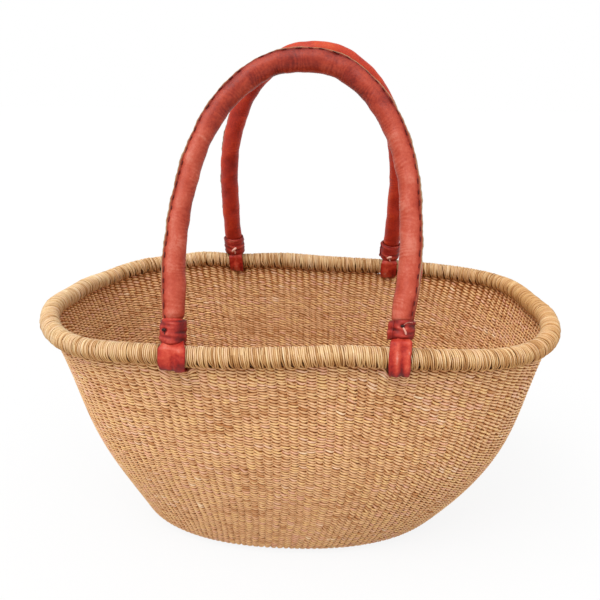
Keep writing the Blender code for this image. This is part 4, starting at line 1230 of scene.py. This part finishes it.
# Veta vera grass: matt, pale gold, with pink and brown straws among the yellow ones
TWINED_PALETTE = ((0.0, "C68E5C"), (0.22, "DAAC80"), (0.45, "EAC29A"), (0.62, "EEC994"), (0.80, "E7B69C"),
                  (1.0, "F7E0C2"))
# Painted shade in the hollows between the twined strands, from 0 in a hollow to 1 on a crest
TWINED_HOLLOW_SHADE = ((0.0, "86562E"), (0.30, "D2A87A"), (0.60, "F8EEDE"), (1.0, "FFFAF2"))
WRAPPED_PALETTE = ((0.0, "A57A4A"), (0.22, "C69D6E"), (0.45, "DCBD91"), (0.62, "D8B591"), (0.8, "E0C599"),
                   (1.0, "ECD7B8"))
# Painted shade in the hollows between the wraps, from 0 in a hollow to 1 on a crest
WRAPPED_HOLLOW_SHADE = ((0.0, "5E3818"), (0.30, "A06C34"), (0.58, "E8CA9A"), (0.85, "FFFFFF"))
# Painted shade: the bundled grass is dark where it shows in the gaps between the wraps
BUNDLE_SHADE_PALETTE = ((0.2, "4E3018"), (0.5, "7C5430"), (0.8, "A87C4C"))

# Goat leather, dyed brick red and rubbed paler by hands: satin, with a painted pink highlight on what stands out
FRONT_PALETTE = ((0.0, "661208"), (0.25, "882414"), (0.5, "A23822"), (0.75, "B14A34"), (1.0, "BE6652"))
REAR_PALETTE = ((0.0, "7A1408"), (0.4, "A42814"), (0.7, "BC3C16"), (1.0, "CC5C30"))
LOOP_PALETTE = ((0.0, "620C0A"), (0.25, "90160D"), (0.5, "AE301F"), (0.75, "C24C36"), (1.0, "C87A6C"))
COLLAR_PALETTE = ((0.0, "4C0A08"), (0.25, "6E100C"), (0.5, "8A1C13"), (0.75, "A42E20"), (1.0, "B85444"))
EDGE_PALETTE = ((0.0, "7E200F"), (0.40, "8E402A"), (0.7, "8E6A4C"), (1.0, "A88C6C"))
THREAD_PALETTE = ((0.0, "34090A"), (0.5, "5C120E"), (1.0, "7E2018"))
THONG_PALETTE = ((0.0, "1A0604"), (0.3, "4A120C"), (0.6, "C4806E"), (1.0, "F0BCAC"))

twined = straw_look("twined_veta_vera_grass", TWINED_PALETTE, TWINED_HOLLOW_SHADE, 13.0, 0.45, 0.7, 0.62)
wrapped = straw_look("wrapped_straw", WRAPPED_PALETTE, WRAPPED_HOLLOW_SHADE, 50.0, 0.80, 1.3, 0.55)
bundled = bundle_look("bundled_grass", BUNDLE_SHADE_PALETTE)
sleeve_looks = {
    "front": leather_look("front_goat_leather", FRONT_PALETTE, 0.45),
    "rear": leather_look("rear_goat_leather", REAR_PALETTE, 0.48),
}
loop_leather = leather_look("loop_goat_leather", LOOP_PALETTE, 0.45)
collar_leather = leather_look("crimson_goat_leather", COLLAR_PALETTE, 0.50)
edge_leather = leather_look("raw_edge_leather", EDGE_PALETTE, 0.7)
seam_thread = leather_look("waxed_seam_thread", THREAD_PALETTE, 0.6)
thong_leather = leather_look("undyed_thong", THONG_PALETTE, 0.55)

weave_pieces(twined)
stake_pieces(twined)
rim_pieces(wrapped)
rim_bundle_piece(bundled)
for name, handle in HANDLES.items():
    handle_bundle_piece(name, handle, bundled)
    sleeve_piece(name, handle, sleeve_looks[name])
    seam_pieces(name, handle, edge_leather, seam_thread)
    for end, sign in (("left", -1), ("right", 1)):
        foot = dict(FEET[name, sign], name=f"{name}_{end}", girth=handle["girth"][sign > 0])
        loop_piece(name, foot, handle, sign, loop_leather)
        collar_piece(name, foot, handle, sign, collar_leather)
        thong_piece(name, foot, handle, sign, thong_leather)
